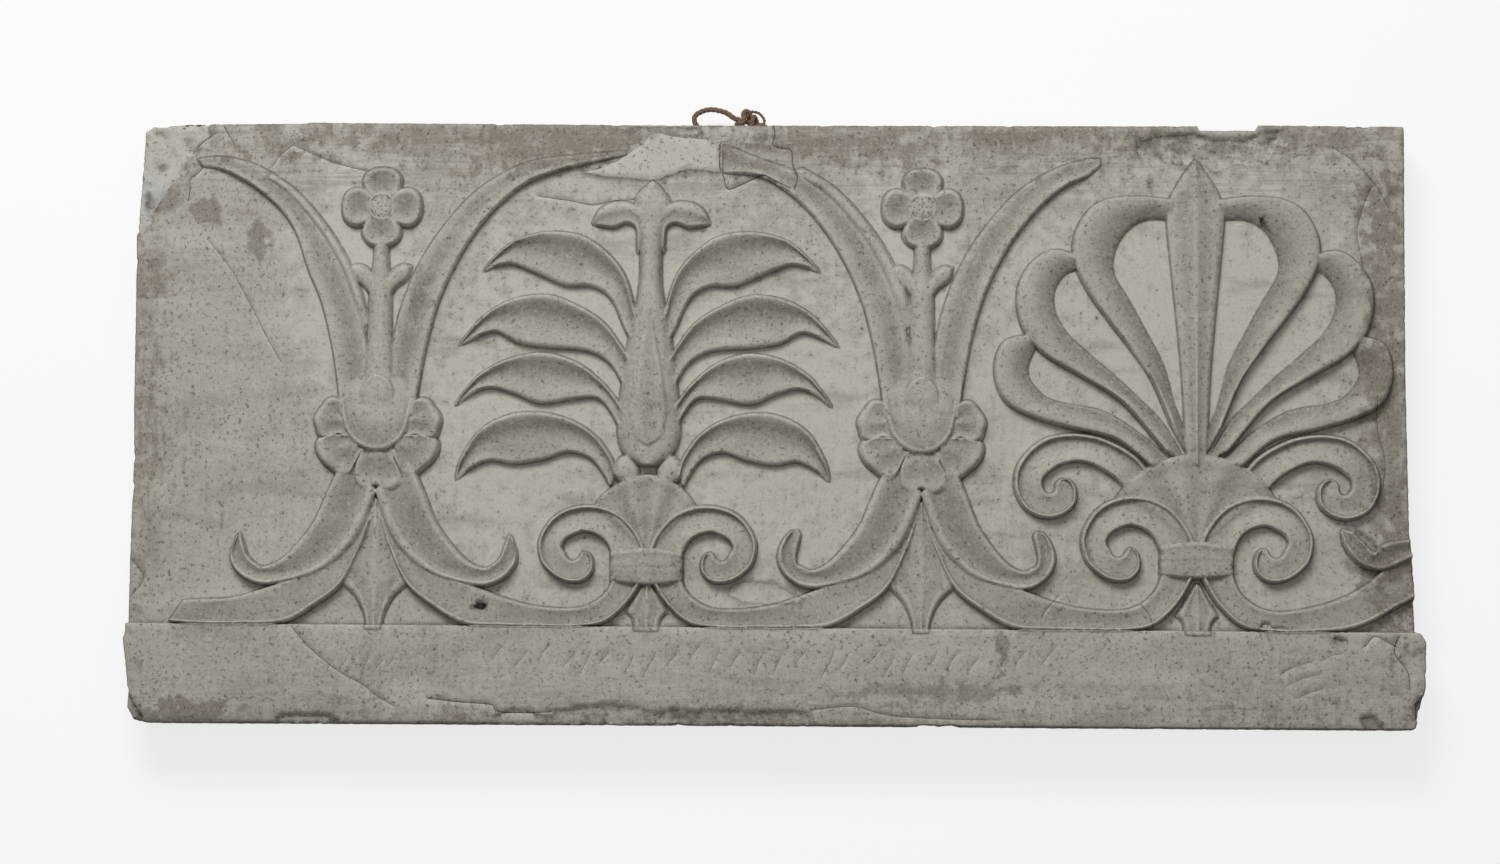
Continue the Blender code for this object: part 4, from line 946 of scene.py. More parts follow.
def tool_strokes():
    """The strokes cut in the band, as bent lines."""
    maker = random.Random(12)
    lines = [list(line) for line in LOOSE_STROKES]
    for start, end, count, top, length, seed in STROKE_ROWS:
        maker.seed(seed)
        for i in range(count):
            x = start + (end - start) * (i + maker.uniform(-0.22, 0.22)) / (count - 1)
            lean = -STROKE_LEAN * maker.uniform(0.8, 1.2) * length
            bow = maker.uniform(-0.05, 0.05) * length
            high = top - length * maker.uniform(0, 0.3)
            low = high - length * maker.uniform(0.35, 0.7)
            lines.append([(x - lean / 2, high), (x + bow, (high + low) / 2), (x + lean / 2, low)])
    return [along(line, spacing=2.2).tolist() for line in lines]


def eye_dots():
    """The middles of the small pits in the flowers' eyes."""
    dots = []
    for axis in (FIRST_AXIS, FIRST_AXIS + 2 * PITCH):
        for count, radius in EYE_DOTS:
            for i in range(count):
                turn = 2 * math.pi * i / count
                x, z = FLOWER_AT
                dots.append((axis + x + radius * math.cos(turn), z + radius * math.sin(turn)))
    return dots


def rough(x, z, size, seed=0.0):
    """Soft uneven noise with bumps of about a size."""
    return noise.fractal(Vector((x / size, z / size, seed)), 0.9, 2.1, 4)


class CarvedFace:
    """The face of the casting: its points, triangles, painted shade and what each point of it has been
    through.
    """

    def __init__(self, waviness):
        self.waviness = waviness
        forms = carving()
        for form in forms:
            form["rings"] = creases(form)
        self.surface = Surface(forms)
        self.strokes = tool_strokes()
        self.losses = [(jittered(list(loss[0]), 2.6, 0.8, index), *loss[1:])
                       for index, loss in enumerate(LOSSES.values())]
        self.repair = jittered(list(REPAIR), 3, 0.4, 5)
        self.edge = self.worn_edge()
        self.points, self.faces = self.triangles(self.net(forms))
        self.shape()

    def worn_edge(self):
        """The panel's edge in small uneven steps, bitten into here and there."""
        loop = np.array(jittered(panel_outline(), EDGE_STEP, 0.15, 3))
        bites = [max(rough(x, z, 16, 7.0) - 0.3, 0) * 2.6 + abs(rough(x, z, 5, 2.0)) * 0.4 for x, z in loop]
        inward = spread(loop, -1.0) - loop
        return (loop + inward * np.array(bites)[:, None]).tolist()

    def net(self, forms):
        """Everything the face is folded along, and points to fill the space between."""
        net = Net()
        net.line(self.edge, closed=True, reach=0.2)
        net.line(spread(np.array(self.edge), -1.6).tolist(), closed=True, reach=0.6)
        left, right = self.edge_span(1.5)
        for z, reach in ((1.4, 0.3), (0, 0.3), (-1, 0.3), ((ARRIS - BAND_HEIGHT) / UNIT, 0.3)):
            net.line([(x, z) for x in np.arange(left, right, 3.5)], reach=reach)
        for outline, *_ in self.losses:
            net.line(outline, closed=True)
            net.line(spread(np.array(outline), -1).tolist(), closed=True)
        net.line(self.repair, closed=True)
        net.line(spread(np.array(self.repair), -0.7).tolist(), closed=True)
        for line, width, _ in CRACKS:
            self.groove(net, along(line, spacing=2.4)[:, :2], width)
        for line in self.strokes:
            self.groove(net, np.array(line), STROKE_WIDTH)
        self.dots = eye_dots()
        for x, z in self.dots:
            net.point(x, z)
            for turn in range(0, 360, 60):
                away = (math.cos(math.radians(turn)) * DOT_RADIUS, math.sin(math.radians(turn)) * DOT_RADIUS)
                net.point(x + away[0], z + away[1])
        for form in forms:
            for row in form["rows"]:
                places = np.vstack([row, row[:1]]) if form["closed"] else row
                net.fold(places, self.surface)
            for ring in form["rings"][1:]:
                heights = form["rings"][0][:, 2]
                places = np.vstack([ring, ring[:1]])
                net.fold(places, self.surface, np.append(heights, heights[0]))
        self.fill(net)
        return net

    def edge_span(self, inset):
        """The furthest left and right of the edge, less an inset."""
        across = [x for x, z in self.edge]
        return min(across) + inset, max(across) - inset

    def groove(self, net, line, width):
        """A cut's middle and its two sides."""
        net.line(line.tolist(), reach=GROOVE_SNAP)
        run = np.gradient(line, axis=0)
        run /= np.linalg.norm(run, axis=1)[:, None]
        side = np.column_stack([-run[:, 1], run[:, 0]]) * width / 2
        for places in (line + side, line - side):
            net.line(places.tolist(), reach=GROOVE_SNAP)

    def fill(self, net):
        """Points in a grid of triangles wherever the face has none near, closer together on the carving."""
        low, high = -BAND_HEIGHT / UNIT, DRAWN_FIELD
        left, right = self.edge_span(2)
        step = FILL_CARVED
        shaker = random.Random(1)
        for row, z in enumerate(np.arange(low + 3, high - 2, step * ROW_STEP)):
            for x in np.arange(left + (row % 2) * step / 2, right, step):
                a = x + shaker.uniform(-FILL_SHAKE, FILL_SHAKE)
                b = z + shaker.uniform(-FILL_SHAKE, FILL_SHAKE)
                carved = self.surface.height(a, b, ((0, 0),)) > 0.5
                reach = (FILL_CARVED if carved else FILL_GROUND) * FILL_REACH
                net.point(a, b, reach)

    def triangles(self, net):
        """The net as triangles that lie inside the panel's edge."""
        flat = [Vector(point) for point in net.points]
        verts, _, faces, _, _, _ = delaunay_2d_cdt(flat, sorted(net.edges), [], 0, 0.01)
        points = np.array([(vert.x, vert.y) for vert in verts])
        faces = np.array([tuple(face) for face in faces])
        kept = inside(points[faces].mean(axis=1), self.edge)
        faces = faces[kept]
        used = np.unique(faces)
        place = np.full(len(points), -1)
        place[used] = np.arange(len(used))
        return points[used], place[faces]

    def shape(self):
        """Heights of the points, and how hollow, worn, pale, marked, stained and darkened with painted shade
        each one is.
        """
        points = self.points
        count = len(points)
        arris = (ARRIS - BAND_HEIGHT) / UNIT
        band = BAND_PROJECTION / UNIT
        height = np.array([self.surface.height(x, z) for x, z in points.tolist()])
        self.carved = height.copy()
        x, z = points[:, 0], points[:, 1]
        on_band = z < 0.4
        level = band - np.maximum(arris - z, 0) * ARRIS_SLOPE - np.clip(z + 1, 0, 1) * 0.7
        height[on_band] = np.maximum(height[on_band] * (z[on_band] > -0.4), level[on_band])
        waves = np.array([rough(a, b, 70, 1.0) * 0.55 + rough(a, b, 17, 4.0) * 0.22
                          + rough(a, b, 5.5, 8.0) * 0.10 for a, b in points.tolist()])
        height += waves * self.waviness
        crumbs = np.array([rough(a, b, 4.2, 11.0) for a, b in points.tolist()])
        pale, dark, mark, broken = (np.zeros(count) for _ in range(4))
        for outline, deep, uneven, light in self.losses:
            within = inside(points, outline)
            away = distance_to(points, outline, True)
            rim = np.clip(away, 0, 1)
            height[within] -= (deep * rim + uneven * crumbs * rim)[within]
            pale[within] = np.maximum(pale[within], light)
            dark[within] = np.maximum(dark[within], -light)
            broken[within] = np.maximum(broken[within], rim[within])
            mark = np.maximum(mark, np.clip(1 - away / 0.9, 0, 1) * 0.5)
        within = inside(points, self.repair)
        away = distance_to(points, self.repair, True)
        rim = np.clip(away / 0.7, 0, 1)
        height[within] += (REPAIR_RISE * rim + crumbs * 0.25)[within]
        pale[within] = 1
        mark = np.maximum(mark, np.clip(1 - away / 0.8, 0, 1) * 0.5)
        for line, width, deep in CRACKS:
            away = distance_to(points, along(line, spacing=2.4)[:, :2].tolist())
            cut = np.clip(1 - away / (width / 2), 0, 1)
            height -= cut * deep
            mark = np.maximum(mark, cut)
        for line in self.strokes:
            cut = np.clip(1 - distance_to(points, line) / (STROKE_WIDTH / 2), 0, 1)
            height -= cut * STROKE_DEPTH
            mark = np.maximum(mark, cut * 0.4)
        for dot in self.dots:
            cut = np.clip(1 - np.linalg.norm(points - dot, axis=1) / (DOT_RADIUS * 0.98), 0, 1)
            height -= cut * DOT_DEPTH
            mark = np.maximum(mark, cut * 0.7)
        lip = distance_to(points, self.edge, True)
        height -= np.clip(1 - lip / 1.6, 0, 1) ** 2 * (1.1 + np.clip(crumbs, 0, 1) * 2.5)
        self.height = height
        self.pale, self.dark, self.mark, self.broken = pale, dark, mark, broken
        self.hollow = self.hollows()
        self.dirt_and_shade = self.surface.dirt_and_shade(points)

    def hollows(self):
        """How much each point lies in a crease, from the points that it is joined to."""
        edges = np.vstack([self.faces[:, [0, 1]], self.faces[:, [1, 2]], self.faces[:, [2, 0]]])
        a, b = edges[:, 0], edges[:, 1]
        run = np.linalg.norm(self.points[a] - self.points[b], axis=1)
        rise = (self.height[b] - self.height[a]) / np.maximum(run, 0.5)
        total = np.zeros(len(self.points))
        weight = np.zeros(len(self.points))
        for here, climb in ((a, rise), (b, -rise)):
            np.add.at(total, here, climb)
            np.add.at(weight, here, 1)
        return total / np.maximum(weight, 1)

    def softened(self, reach):
        """Each point's height averaged with what lies around it, within about a reach."""
        cell = reach / 2
        spot = np.floor((self.points - self.points.min(axis=0)) / cell).astype(int)
        wide, high = spot.max(axis=0) + 1
        flat = spot[:, 0] * high + spot[:, 1]
        total = np.bincount(flat, weights=self.height, minlength=wide * high).reshape(wide, high)
        count = np.bincount(flat, minlength=wide * high).reshape(wide, high).astype(float)
        kernel = np.exp(-np.arange(-6, 7) ** 2 / 8)
        for axis in (0, 1):
            total = np.apply_along_axis(np.convolve, axis, total, kernel, "same")
            count = np.apply_along_axis(np.convolve, axis, count, kernel, "same")
        return (total / np.maximum(count, 1e-9))[spot[:, 0], spot[:, 1]]

    def blotted(self, spots, seed):
        """How strongly each point lies in any of the soft ragged spots."""
        mask = np.zeros(len(self.points))
        for x, z, wide, high, strength in spots:
            away = np.hypot((self.points[:, 0] - x) / wide, (self.points[:, 1] - z) / high)
            close = np.flatnonzero(away < 1.6)
            for i in close.tolist():
                ragged = away[i] + rough(*self.points[i].tolist(), 11, seed) * 0.75
                mask[i] = max(mask[i], min(max((1.15 - ragged) / 0.6, 0), 1) * strength)
        return mask


class Casting:
    """The whole casting as one closed mesh: the face, its broken sides and the rough back."""

    def __init__(self, face):
        self.face = face
        front = metres(np.column_stack([face.points, face.height]))
        self.verts = [list(place) for place in front]
        self.faces = [tuple(item) for item in face.faces.tolist()]
        self.rim = self.boundary()
        self.shade_and_wear = self.face_shade_and_wear()
        self.marks = self.face_marks()
        self.sides()

    def boundary(self):
        """The numbers of the points round the face, in order."""
        ahead = {}
        used = {edge for a, b, c in self.faces for edge in ((a, b), (b, c), (c, a))}
        for a, b in used:
            if (b, a) not in used:
                ahead[a] = b
        first = min(ahead)
        loop = [first]
        while ahead[loop[-1]] != first:
            loop.append(ahead[loop[-1]])
        return loop

    def face_shade_and_wear(self):
        """Painted shade and dirt, painted highlight and rubbing, tone from brown to light, and broken, for
        each face point.
        """
        face = self.face
        # Painted shade and dirt: darker where a point lies lower than what is near it, and in the sections'
        # painted shade.
        form = np.clip(face.carved, 0, 1)
        close = np.clip((face.softened(7) - face.height) / 3.2, 0, 1)
        wide = np.clip((face.softened(18) - face.height) / 6, 0, 1)
        hollow = face.hollow * 0.5 + close * 0.3 * form + wide * 0.1 * form
        hollow = np.maximum(np.clip(hollow, 0, 1), face.dirt_and_shade)
        # Painted highlight and rubbing: convex edges are made paler.
        edge = np.clip(-face.hollow * 1.1 - 0.12, 0, 1)
        light = face.blotted(LIGHT_GROUND, 5.0) * (1 - 0.85 * form) * (face.points[:, 1] > 0)
        tone = np.clip(0.5 + light * 0.5 - face.blotted(BROWN_PARTS, 6.0) * 0.5, 0, 1)
        return np.column_stack([hollow, edge, tone, face.broken])

    def face_marks(self):
        """Pale, marked, stained and on the face, for each point of the face."""
        face = self.face
        pale = np.maximum(face.pale, face.blotted(PALE_SPOTS, 3.0) * 0.8)
        stain = np.maximum(face.blotted(BLOTCHES, 9.0), face.dark)
        mark = np.maximum(face.mark, face.blotted(SCRIM_SPOTS, 2.0) * 0.75)
        return np.column_stack([pale, mark, stain, np.ones(len(pale))])

    def sides(self):
        """Rings of points from the face back to the wall, and the flat back."""
        rim = self.rim
        flat = np.array([(self.verts[i][0], self.verts[i][2]) for i in rim])
        inward = spread(flat, -1.0) - flat
        rings = [rim]
        for depth, bite in SIDE_RINGS:
            ring = []
            for number, (x, z), (dx, dz) in zip(rim, flat.tolist(), inward.tolist()):
                y = self.verts[number][1] * (1 - depth)
                worn = (rough(x * 1000, z * 1000 + y * 900, 13, 5.0) * 0.5 + 0.5) * bite
                ring.append(len(self.verts))
                self.verts.append([x + dx * worn, y, z + dz * worn])
            rings.append(ring)
        count = len(rim)
        for front, behind in zip(rings, rings[1:]):
            for i in range(count):
                j = (i + 1) % count
                self.faces.append((front[j], front[i], behind[i], behind[j]))
        self.back(rings[-1])

    def back(self, loop):
        """The back, dented a little where it was scraped off."""
        points = [Vector((self.verts[i][0], self.verts[i][2])) for i in loop]
        step = BACK_FILL * UNIT
        low = np.array(points).min(axis=0) + step / 2
        high = np.array(points).max(axis=0) - step / 2
        for z in np.arange(low[1], high[1], step):
            for x in np.arange(low[0], high[0], step):
                points.append(Vector((x, z)))
        edges = [(i, (i + 1) % len(loop)) for i in range(len(loop))]
        verts, _, faces, origins, _, _ = delaunay_2d_cdt(points, edges, [], 1, 1e-7)
        numbers = []
        for vert, origin in zip(verts, origins):
            if origin and min(origin) < len(loop):
                numbers.append(loop[min(origin)])
                continue
            numbers.append(len(self.verts))
            near = min(abs(vert.x - low[0]), abs(vert.x - high[0]),
                       abs(vert.y - low[1]), abs(vert.y - high[1]))
            dent = (rough(vert.x * 1000, vert.y * 1000, 45, 6.0) + 1) * BACK_DENT if near > step else 0
            self.verts.append([vert.x, -dent, vert.y])
        self.faces += [tuple(numbers[i] for i in reversed(face)) for face in faces]

    def mesh(self, name):
        """The casting as a mesh with its painted shade, wear and marks."""
        mesh = bpy.data.meshes.new(name)
        mesh.from_pydata(self.verts, [], self.faces)
        mesh.validate()
        for polygon in mesh.polygons:
            polygon.use_smooth = True
        known = len(self.shade_and_wear)
        for title, values, rest in (("shade_and_wear", self.shade_and_wear, SIDE_SHADE_AND_WEAR), ("marks", self.marks, SIDE_MARKS)):
            layer = mesh.attributes.new(title, "FLOAT_COLOR", "POINT")
            table = np.tile(np.array(rest, float), (len(mesh.vertices), 1))
            table[:known] = values
            layer.data.foreach_set("color", table.ravel())
        mesh.update()
        return mesh


def linear(red, green, blue):
    """A colour given as 8-bit screen values, as the shares that a shader takes."""
    shares = []
    for level in (red, green, blue):
        share = level / 255
        shares.append(share / 12.92 if share <= 0.04045 else ((share + 0.055) / 1.055) ** 2.4)
    return tuple(shares)


class Wiring:
    """Adds nodes to a tree and joins them."""

    def __init__(self, tree):
        self.tree = tree

    def feed(self, socket, value):
        """Joins an output to a socket, or sets the socket's own value."""
        if isinstance(value, bpy.types.NodeSocket):
            self.tree.links.new(value, socket)
        elif hasattr(value, "__len__") and len(value) == 3 and socket.type == "RGBA":
            socket.default_value = (*value, 1)
        else:
            socket.default_value = value

    def add(self, kind, sockets=(), **settings):
        """A node with its settings, and its sockets by name or number."""
        node = self.tree.nodes.new(kind)
        for name, value in settings.items():
            setattr(node, name, value)
        for name, value in dict(sockets).items():
            self.feed(node.inputs[name], value)
        return node

    def sum(self, operation, *values, clamp=False):
        """A math node's result."""
        node = self.add("ShaderNodeMath", enumerate(values), operation=operation, use_clamp=clamp)
        return node.outputs[0]

    def blend(self, share, low, high):
        """A colour mixed from two by a share."""
        node = self.add("ShaderNodeMix", {0: share, 6: low, 7: high}, data_type="RGBA", clamp_factor=True)
        return node.outputs[2]

    def step(self, value, low, high, start=0.0, end=1.0):
        """A value brought smoothly from one range to another."""
        node = self.add("ShaderNodeMapRange", {0: value, 1: low, 2: high, 3: start, 4: end},
                        interpolation_type="SMOOTHSTEP")
        return node.outputs[0]

    def speckle(self, place, size, detail=3.0, harsh=0.55):
        """Noise whose lumps are about a size, in metres."""
        node = self.add("ShaderNodeTexNoise", {"Vector": place, "Scale": 1 / size, "Detail": detail,
                                               "Roughness": harsh})
        return node.outputs[0]

    def swing(self, value, amount, middle=0.5):
        """How far a value lies above or below its middle, times an amount."""
        return self.sum("MULTIPLY", self.sum("SUBTRACT", value, middle), amount)

    def painted(self, name):
        """The three colours and the fourth value that the mesh's points carry under a name."""
        layer = self.add("ShaderNodeAttribute", attribute_name=name).outputs
        parts = self.add("ShaderNodeSeparateColor", {0: layer["Color"]}).outputs
        return parts[0], parts[1], parts[2], layer["Alpha"]

    def scaled(self, place, scale):
        """Coordinates stretched by a scale along each axis."""
        node = self.add("ShaderNodeMapping", {"Vector": place, "Scale": scale})
        return node.outputs[0]

    def group(self, tree, **sockets):
        """A copy of a shared group with its own values."""
        node = self.add("ShaderNodeGroup", node_tree=tree)
        for name, value in sockets.items():
            self.feed(node.inputs[name.replace("_", " ")], value)
        return node.outputs[0]


def new_group(name, output, **inputs):
    """An empty node group with float or vector inputs, its wiring and its two ends."""
    tree = bpy.data.node_groups.new(name, "ShaderNodeTree")
    for title, (kind, default) in inputs.items():
        socket = tree.interface.new_socket(title.replace("_", " "), in_out="INPUT", socket_type=kind)
        if default is not None:
            socket.default_value = default
    tree.interface.new_socket(output, in_out="OUTPUT", socket_type="NodeSocketFloat")
    wiring = Wiring(tree)
    start = wiring.add("NodeGroupInput")
    end = wiring.add("NodeGroupOutput")
    return tree, wiring, start.outputs, end.inputs[0]


def dust_group():
    """Ragged patches of settled dust: lumps of a size that cover a share of the surface."""
    tree, wiring, start, end = new_group(
        "settled_dust", "Dust", Place=("NodeSocketVector", None), Size=("NodeSocketFloat", 0.05),
        Cover=("NodeSocketFloat", 0.5), Softness=("NodeSocketFloat", 0.12))
    density = wiring.sum("DIVIDE", 1.0, start["Size"])
    broad = wiring.add("ShaderNodeTexNoise", {"Vector": start["Place"], "Scale": density, "Detail": 6.0,
                                              "Roughness": 0.62})
    limit = wiring.sum("SUBTRACT", 1.0, start["Cover"])
    low = wiring.sum("SUBTRACT", limit, start["Softness"])
    high = wiring.sum("ADD", limit, start["Softness"])
    wiring.feed(end, wiring.step(broad.outputs[0], low, high))
    return tree


def pit_group():
    """Small dark pits of a size, only where a coarse noise lets them."""
    tree, wiring, start, end = new_group(
        "small_pits", "Pits", Place=("NodeSocketVector", None), Size=("NodeSocketFloat", 0.006),
        Amount=("NodeSocketFloat", 0.4))
    density = wiring.sum("DIVIDE", 1.0, start["Size"])
    cells = wiring.add("ShaderNodeTexVoronoi", {"Vector": start["Place"], "Scale": density})
    ragged = wiring.add("ShaderNodeTexNoise", {"Vector": start["Place"], "Scale": wiring.sum(
        "MULTIPLY", density, 3.0), "Detail": 3.0})
    away = wiring.sum("ADD", cells.outputs["Distance"], wiring.swing(ragged.outputs[0], 0.45))
    near = wiring.step(away, 0.04, 0.13, 1.0, 0.0)
    few = wiring.add("ShaderNodeSeparateColor", {0: cells.outputs["Color"]})
    chosen = wiring.sum("LESS_THAN", few.outputs[0], start["Amount"])
    wiring.feed(end, wiring.sum("MULTIPLY", near, chosen))
    return tree


def shared_group(maker, name):
    """A node group that is built the first time it is asked for."""
    return bpy.data.node_groups.get(name) or maker()


def new_material(name):
    """A material with its Principled shader, and the wiring of its tree."""
    material = bpy.data.materials.new(name)
    material.use_nodes = True
    wiring = Wiring(material.node_tree)
    return material, wiring, material.node_tree.nodes["Principled BSDF"]


def plaster_material(settings):
    """Old distempered plaster: uneven greys, brushed brown washes, dirt and painted shade in the hollows and
    pale breaks.
    """
    material, wiring, shader = new_material("aged_plaster")
    dust = shared_group(dust_group, "settled_dust")
    pits = shared_group(pit_group, "small_pits")
    place = wiring.add("ShaderNodeTexCoord").outputs["Object"]
    axes = wiring.add("ShaderNodeSeparateXYZ", {0: place}).outputs
    hollow, edge, painted, broken = wiring.painted("shade_and_wear")
    pale, mark, stain, on_face = wiring.painted("marks")

    fine = wiring.speckle(place, 0.0016, 4)
    grit = wiring.speckle(place, 0.0034, 5, 0.7)
    grain = wiring.speckle(place, 0.006, 5, 0.6)
    clouds = wiring.speckle(place, 0.07, 5, 0.6)
    brushed = wiring.speckle(wiring.scaled(place, (4, 4, 75)), 0.45, 7, 0.7)
    stroked = wiring.speckle(wiring.scaled(place, (60, 60, 6)), 0.3, 6, 0.7)
    slanted = wiring.add("ShaderNodeMapping", {"Vector": place, "Rotation": (0, math.radians(-32), 0),
                                               "Scale": (4, 4, 18)}).outputs[0]
    wiped = wiring.speckle(slanted, 0.4, 5, 0.6)

    # The distemper's own tone: brown where it has gone, light where it has stayed, ragged between.
    high_up = wiring.step(axes[2], 0.15, 0.25)
    low_down = wiring.step(axes[2], -0.19, -0.262)
    zone = wiring.sum("MAXIMUM", high_up, wiring.sum("MULTIPLY", low_down, 0.7))
    uneven = wiring.swing(wiring.sum("ADD", clouds, grain), 0.8, 1.0)
    streaked = wiring.swing(brushed, wiring.sum("MULTIPLY_ADD", zone, 1.3, 0.2))
    worked = wiring.sum("ADD", uneven, wiring.sum("ADD", streaked, wiring.swing(stroked, 0.7)))
    share = wiring.sum("ADD", painted, worked, clamp=True)
    tone = wiring.blend(wiring.step(share, 0.05, 0.5), settings.wash, settings.plaster)
    tone = wiring.blend(wiring.step(share, 0.5, 1.0), tone, settings.plaster_light)
    tone = wiring.blend(wiring.step(wiped, 0.52, 0.68, 0, 0.5), tone, settings.plaster_light)
    tone = wiring.blend(wiring.step(wiped, 0.46, 0.3, 0, 0.6), tone, settings.plaster_warm)

    # Thin brushed streaks near the top and low on the band.
    wash = wiring.sum("MULTIPLY", wiring.step(brushed, 0.5, 0.6), zone)
    tone = wiring.blend(wiring.sum("MULTIPLY", wash, 0.5), tone, settings.stain)

    # Stains with ragged edges.
    ragged = wiring.sum("ADD", stain, wiring.swing(grain, 0.5))
    tone = wiring.blend(wiring.step(ragged, 0.25, 0.6, 0, 0.75), tone, settings.stain)

    # Pale new plaster and breaks, streaked with what has rubbed off.
    torn = wiring.sum("ADD", pale, wiring.swing(grain, 0.9))
    bare = wiring.step(torn, 0.3, 0.75, 0, 0.85)
    fresh = wiring.blend(wiring.step(clouds, 0.35, 0.65), settings.repair, settings.plaster_light)
    tone = wiring.blend(bare, tone, fresh)

    # Rubbed high places with a painted highlight, dirt and painted shade in the hollows, and dark cuts.
    rubbed_and_highlight = wiring.sum("MULTIPLY", edge, wiring.step(grain, 0.3, 0.6))
    tone = wiring.blend(wiring.sum("MULTIPLY", rubbed_and_highlight, 0.5), tone, settings.plaster_pale)
    # Painted shade: the hollows and the feet of forms are darkened towards the grime colour, partly as dirt.
    dirt_and_shade = wiring.sum("MULTIPLY", hollow, wiring.step(grain, 0.25, 0.6, 0.55, 1.0))
    tone = wiring.blend(wiring.sum("MULTIPLY", dirt_and_shade, settings.dirt_and_shade), tone, settings.grime_and_shade)
    settled = wiring.group(dust, Place=place, Size=0.03, Cover=0.42, Softness=0.1)
    tone = wiring.blend(wiring.sum("MULTIPLY", settled, 0.14), tone, settings.plaster_pale)
    tone = wiring.blend(wiring.sum("MULTIPLY", mark, 0.85), tone, settings.crack)

    # Flecks: fine dark pits and a few pale scuffs.
    pitted = wiring.group(pits, Place=place, Size=0.011, Amount=0.3)
    small = wiring.group(pits, Place=place, Size=0.005, Amount=0.25)
    holes = wiring.sum("MAXIMUM", pitted, wiring.sum("MULTIPLY", small, 0.7))
    tone = wiring.blend(wiring.sum("MULTIPLY", holes, 0.4), tone, settings.grime_and_shade)
    tone = wiring.blend(wiring.step(fine, 0.56, 0.74, 0, 0.4), tone, settings.plaster_pale)
    tone = wiring.blend(wiring.step(fine, 0.44, 0.26, 0, 0.4), tone, settings.grime_and_shade)
    worn = wiring.step(share, 0.45, 0.95, 1.0, 0.25)
    specks = wiring.sum("MULTIPLY", wiring.step(grit, 0.45, 0.33, 0, 0.8), worn)
    tone = wiring.blend(specks, tone, settings.grime_and_shade)
    tone = wiring.blend(wiring.step(grit, 0.57, 0.7, 0, 0.5), tone, settings.plaster_pale)
    back = wiring.blend(wiring.step(clouds, 0.35, 0.65, 0, 0.6), settings.plaster_light, settings.plaster)
    back = wiring.blend(wiring.sum("MULTIPLY", settled, 0.2), back, settings.stain)
    tone = wiring.blend(on_face, back, tone)
    wiring.feed(shader.inputs["Base Color"], tone)

    sheen = wiring.step(clouds, 0.3, 0.7, 0.72, 0.9)
    dull = wiring.sum("MAXIMUM", sheen, wiring.sum("MULTIPLY", broken, 0.95))
    wiring.feed(shader.inputs["Roughness"], dull)
    shader.inputs["Specular IOR Level"].default_value = 0.3

    strokes = wiring.sum("MULTIPLY", wiring.sum("ADD", brushed, stroked), 0.5)
    crumbs = wiring.sum("MULTIPLY", grain, wiring.sum("MULTIPLY_ADD", broken, 1.6, 0.5))
    height = wiring.sum("ADD", wiring.sum("ADD", strokes, crumbs), wiring.sum("MULTIPLY", fine, 0.3))
    height = wiring.sum("SUBTRACT", height, wiring.sum("MULTIPLY", holes, 0.5))
    bump = wiring.add("ShaderNodeBump", {"Strength": 0.35, "Distance": 0.0009, "Height": height})
    wiring.feed(shader.inputs["Normal"], bump.outputs[0])
    return material


def hemp_material(settings):
    """Dark old hemp: brown strands with paler fibres and some plaster dust."""
    material, wiring, shader = new_material("hemp_rope")
    dust = shared_group(dust_group, "settled_dust")
    place = wiring.add("ShaderNodeTexCoord").outputs["Object"]
    fibre = wiring.speckle(place, 0.0006, 4, 0.65)
    clumps = wiring.speckle(place, 0.004, 3)
    tone = wiring.blend(wiring.step(fibre, 0.35, 0.65), settings.hemp_dark, settings.hemp)
    tone = wiring.blend(wiring.step(clumps, 0.52, 0.68, 0, 0.7), tone, settings.hemp_light)
    settled = wiring.group(dust, Place=place, Size=0.006, Cover=0.4, Softness=0.08)
    tone = wiring.blend(wiring.sum("MULTIPLY", settled, 0.06), tone, settings.dust)
    wiring.feed(shader.inputs["Base Color"], tone)
    shader.inputs["Roughness"].default_value = 0.92
    shader.inputs["Specular IOR Level"].default_value = 0.2
    bump = wiring.add("ShaderNodeBump", {"Strength": 0.6, "Distance": 0.0003, "Height": fibre})
    wiring.feed(shader.inputs["Normal"], bump.outputs[0])
    return material


def paper_material(name, colour, glow, one_sided):
    """Matt white paper that glows a little, and throws little light back on the casting.

    One-sided paper is clear from behind, and casts no shade.
    """
    material, wiring, shader = new_material(name)
    shader.inputs["Base Color"].default_value = PAPER
    shader.inputs["Emission Color"].default_value = (*colour, 1)
    shader.inputs["Emission Strength"].default_value = glow
    shader.inputs["Roughness"].default_value = 1.0
    shader.inputs["Specular IOR Level"].default_value = 0.0
    direct = wiring.add("ShaderNodeLightPath").outputs["Is Camera Ray"]
    if one_sided:
        behind = wiring.add("ShaderNodeNewGeometry").outputs["Backfacing"]
        clear = wiring.sum("MAXIMUM", behind, wiring.sum("SUBTRACT", 1.0, direct))
        see_through = wiring.add("ShaderNodeBsdfTransparent")
        both = wiring.add("ShaderNodeMixShader", {0: clear, 1: shader.outputs[0], 2: see_through.outputs[0]})
    else:
        dim = wiring.add("ShaderNodeBsdfDiffuse", {"Color": DIM_PAPER})
        both = wiring.add("ShaderNodeMixShader", {0: direct, 1: dim.outputs[0], 2: shader.outputs[0]})
    wiring.feed(material.node_tree.nodes["Material Output"].inputs[0], both.outputs[0])
    return material


def frames_along(path):
    """Two directions across a path at each of its points, without twist."""
    path = np.array(path, float)
    run = np.gradient(path, axis=0)
    run /= np.linalg.norm(run, axis=1)[:, None]
    side = np.cross(run[0], (0, 1, 0))
    if np.linalg.norm(side) < 0.1:
        side = np.cross(run[0], (1, 0, 0))
    across, over = [], []
    for direction in run:
        side = side - direction * (side @ direction)
        side = side / np.linalg.norm(side)
        across.append(side)
        over.append(np.cross(direction, side))
    return path, np.array(across), np.array(over)


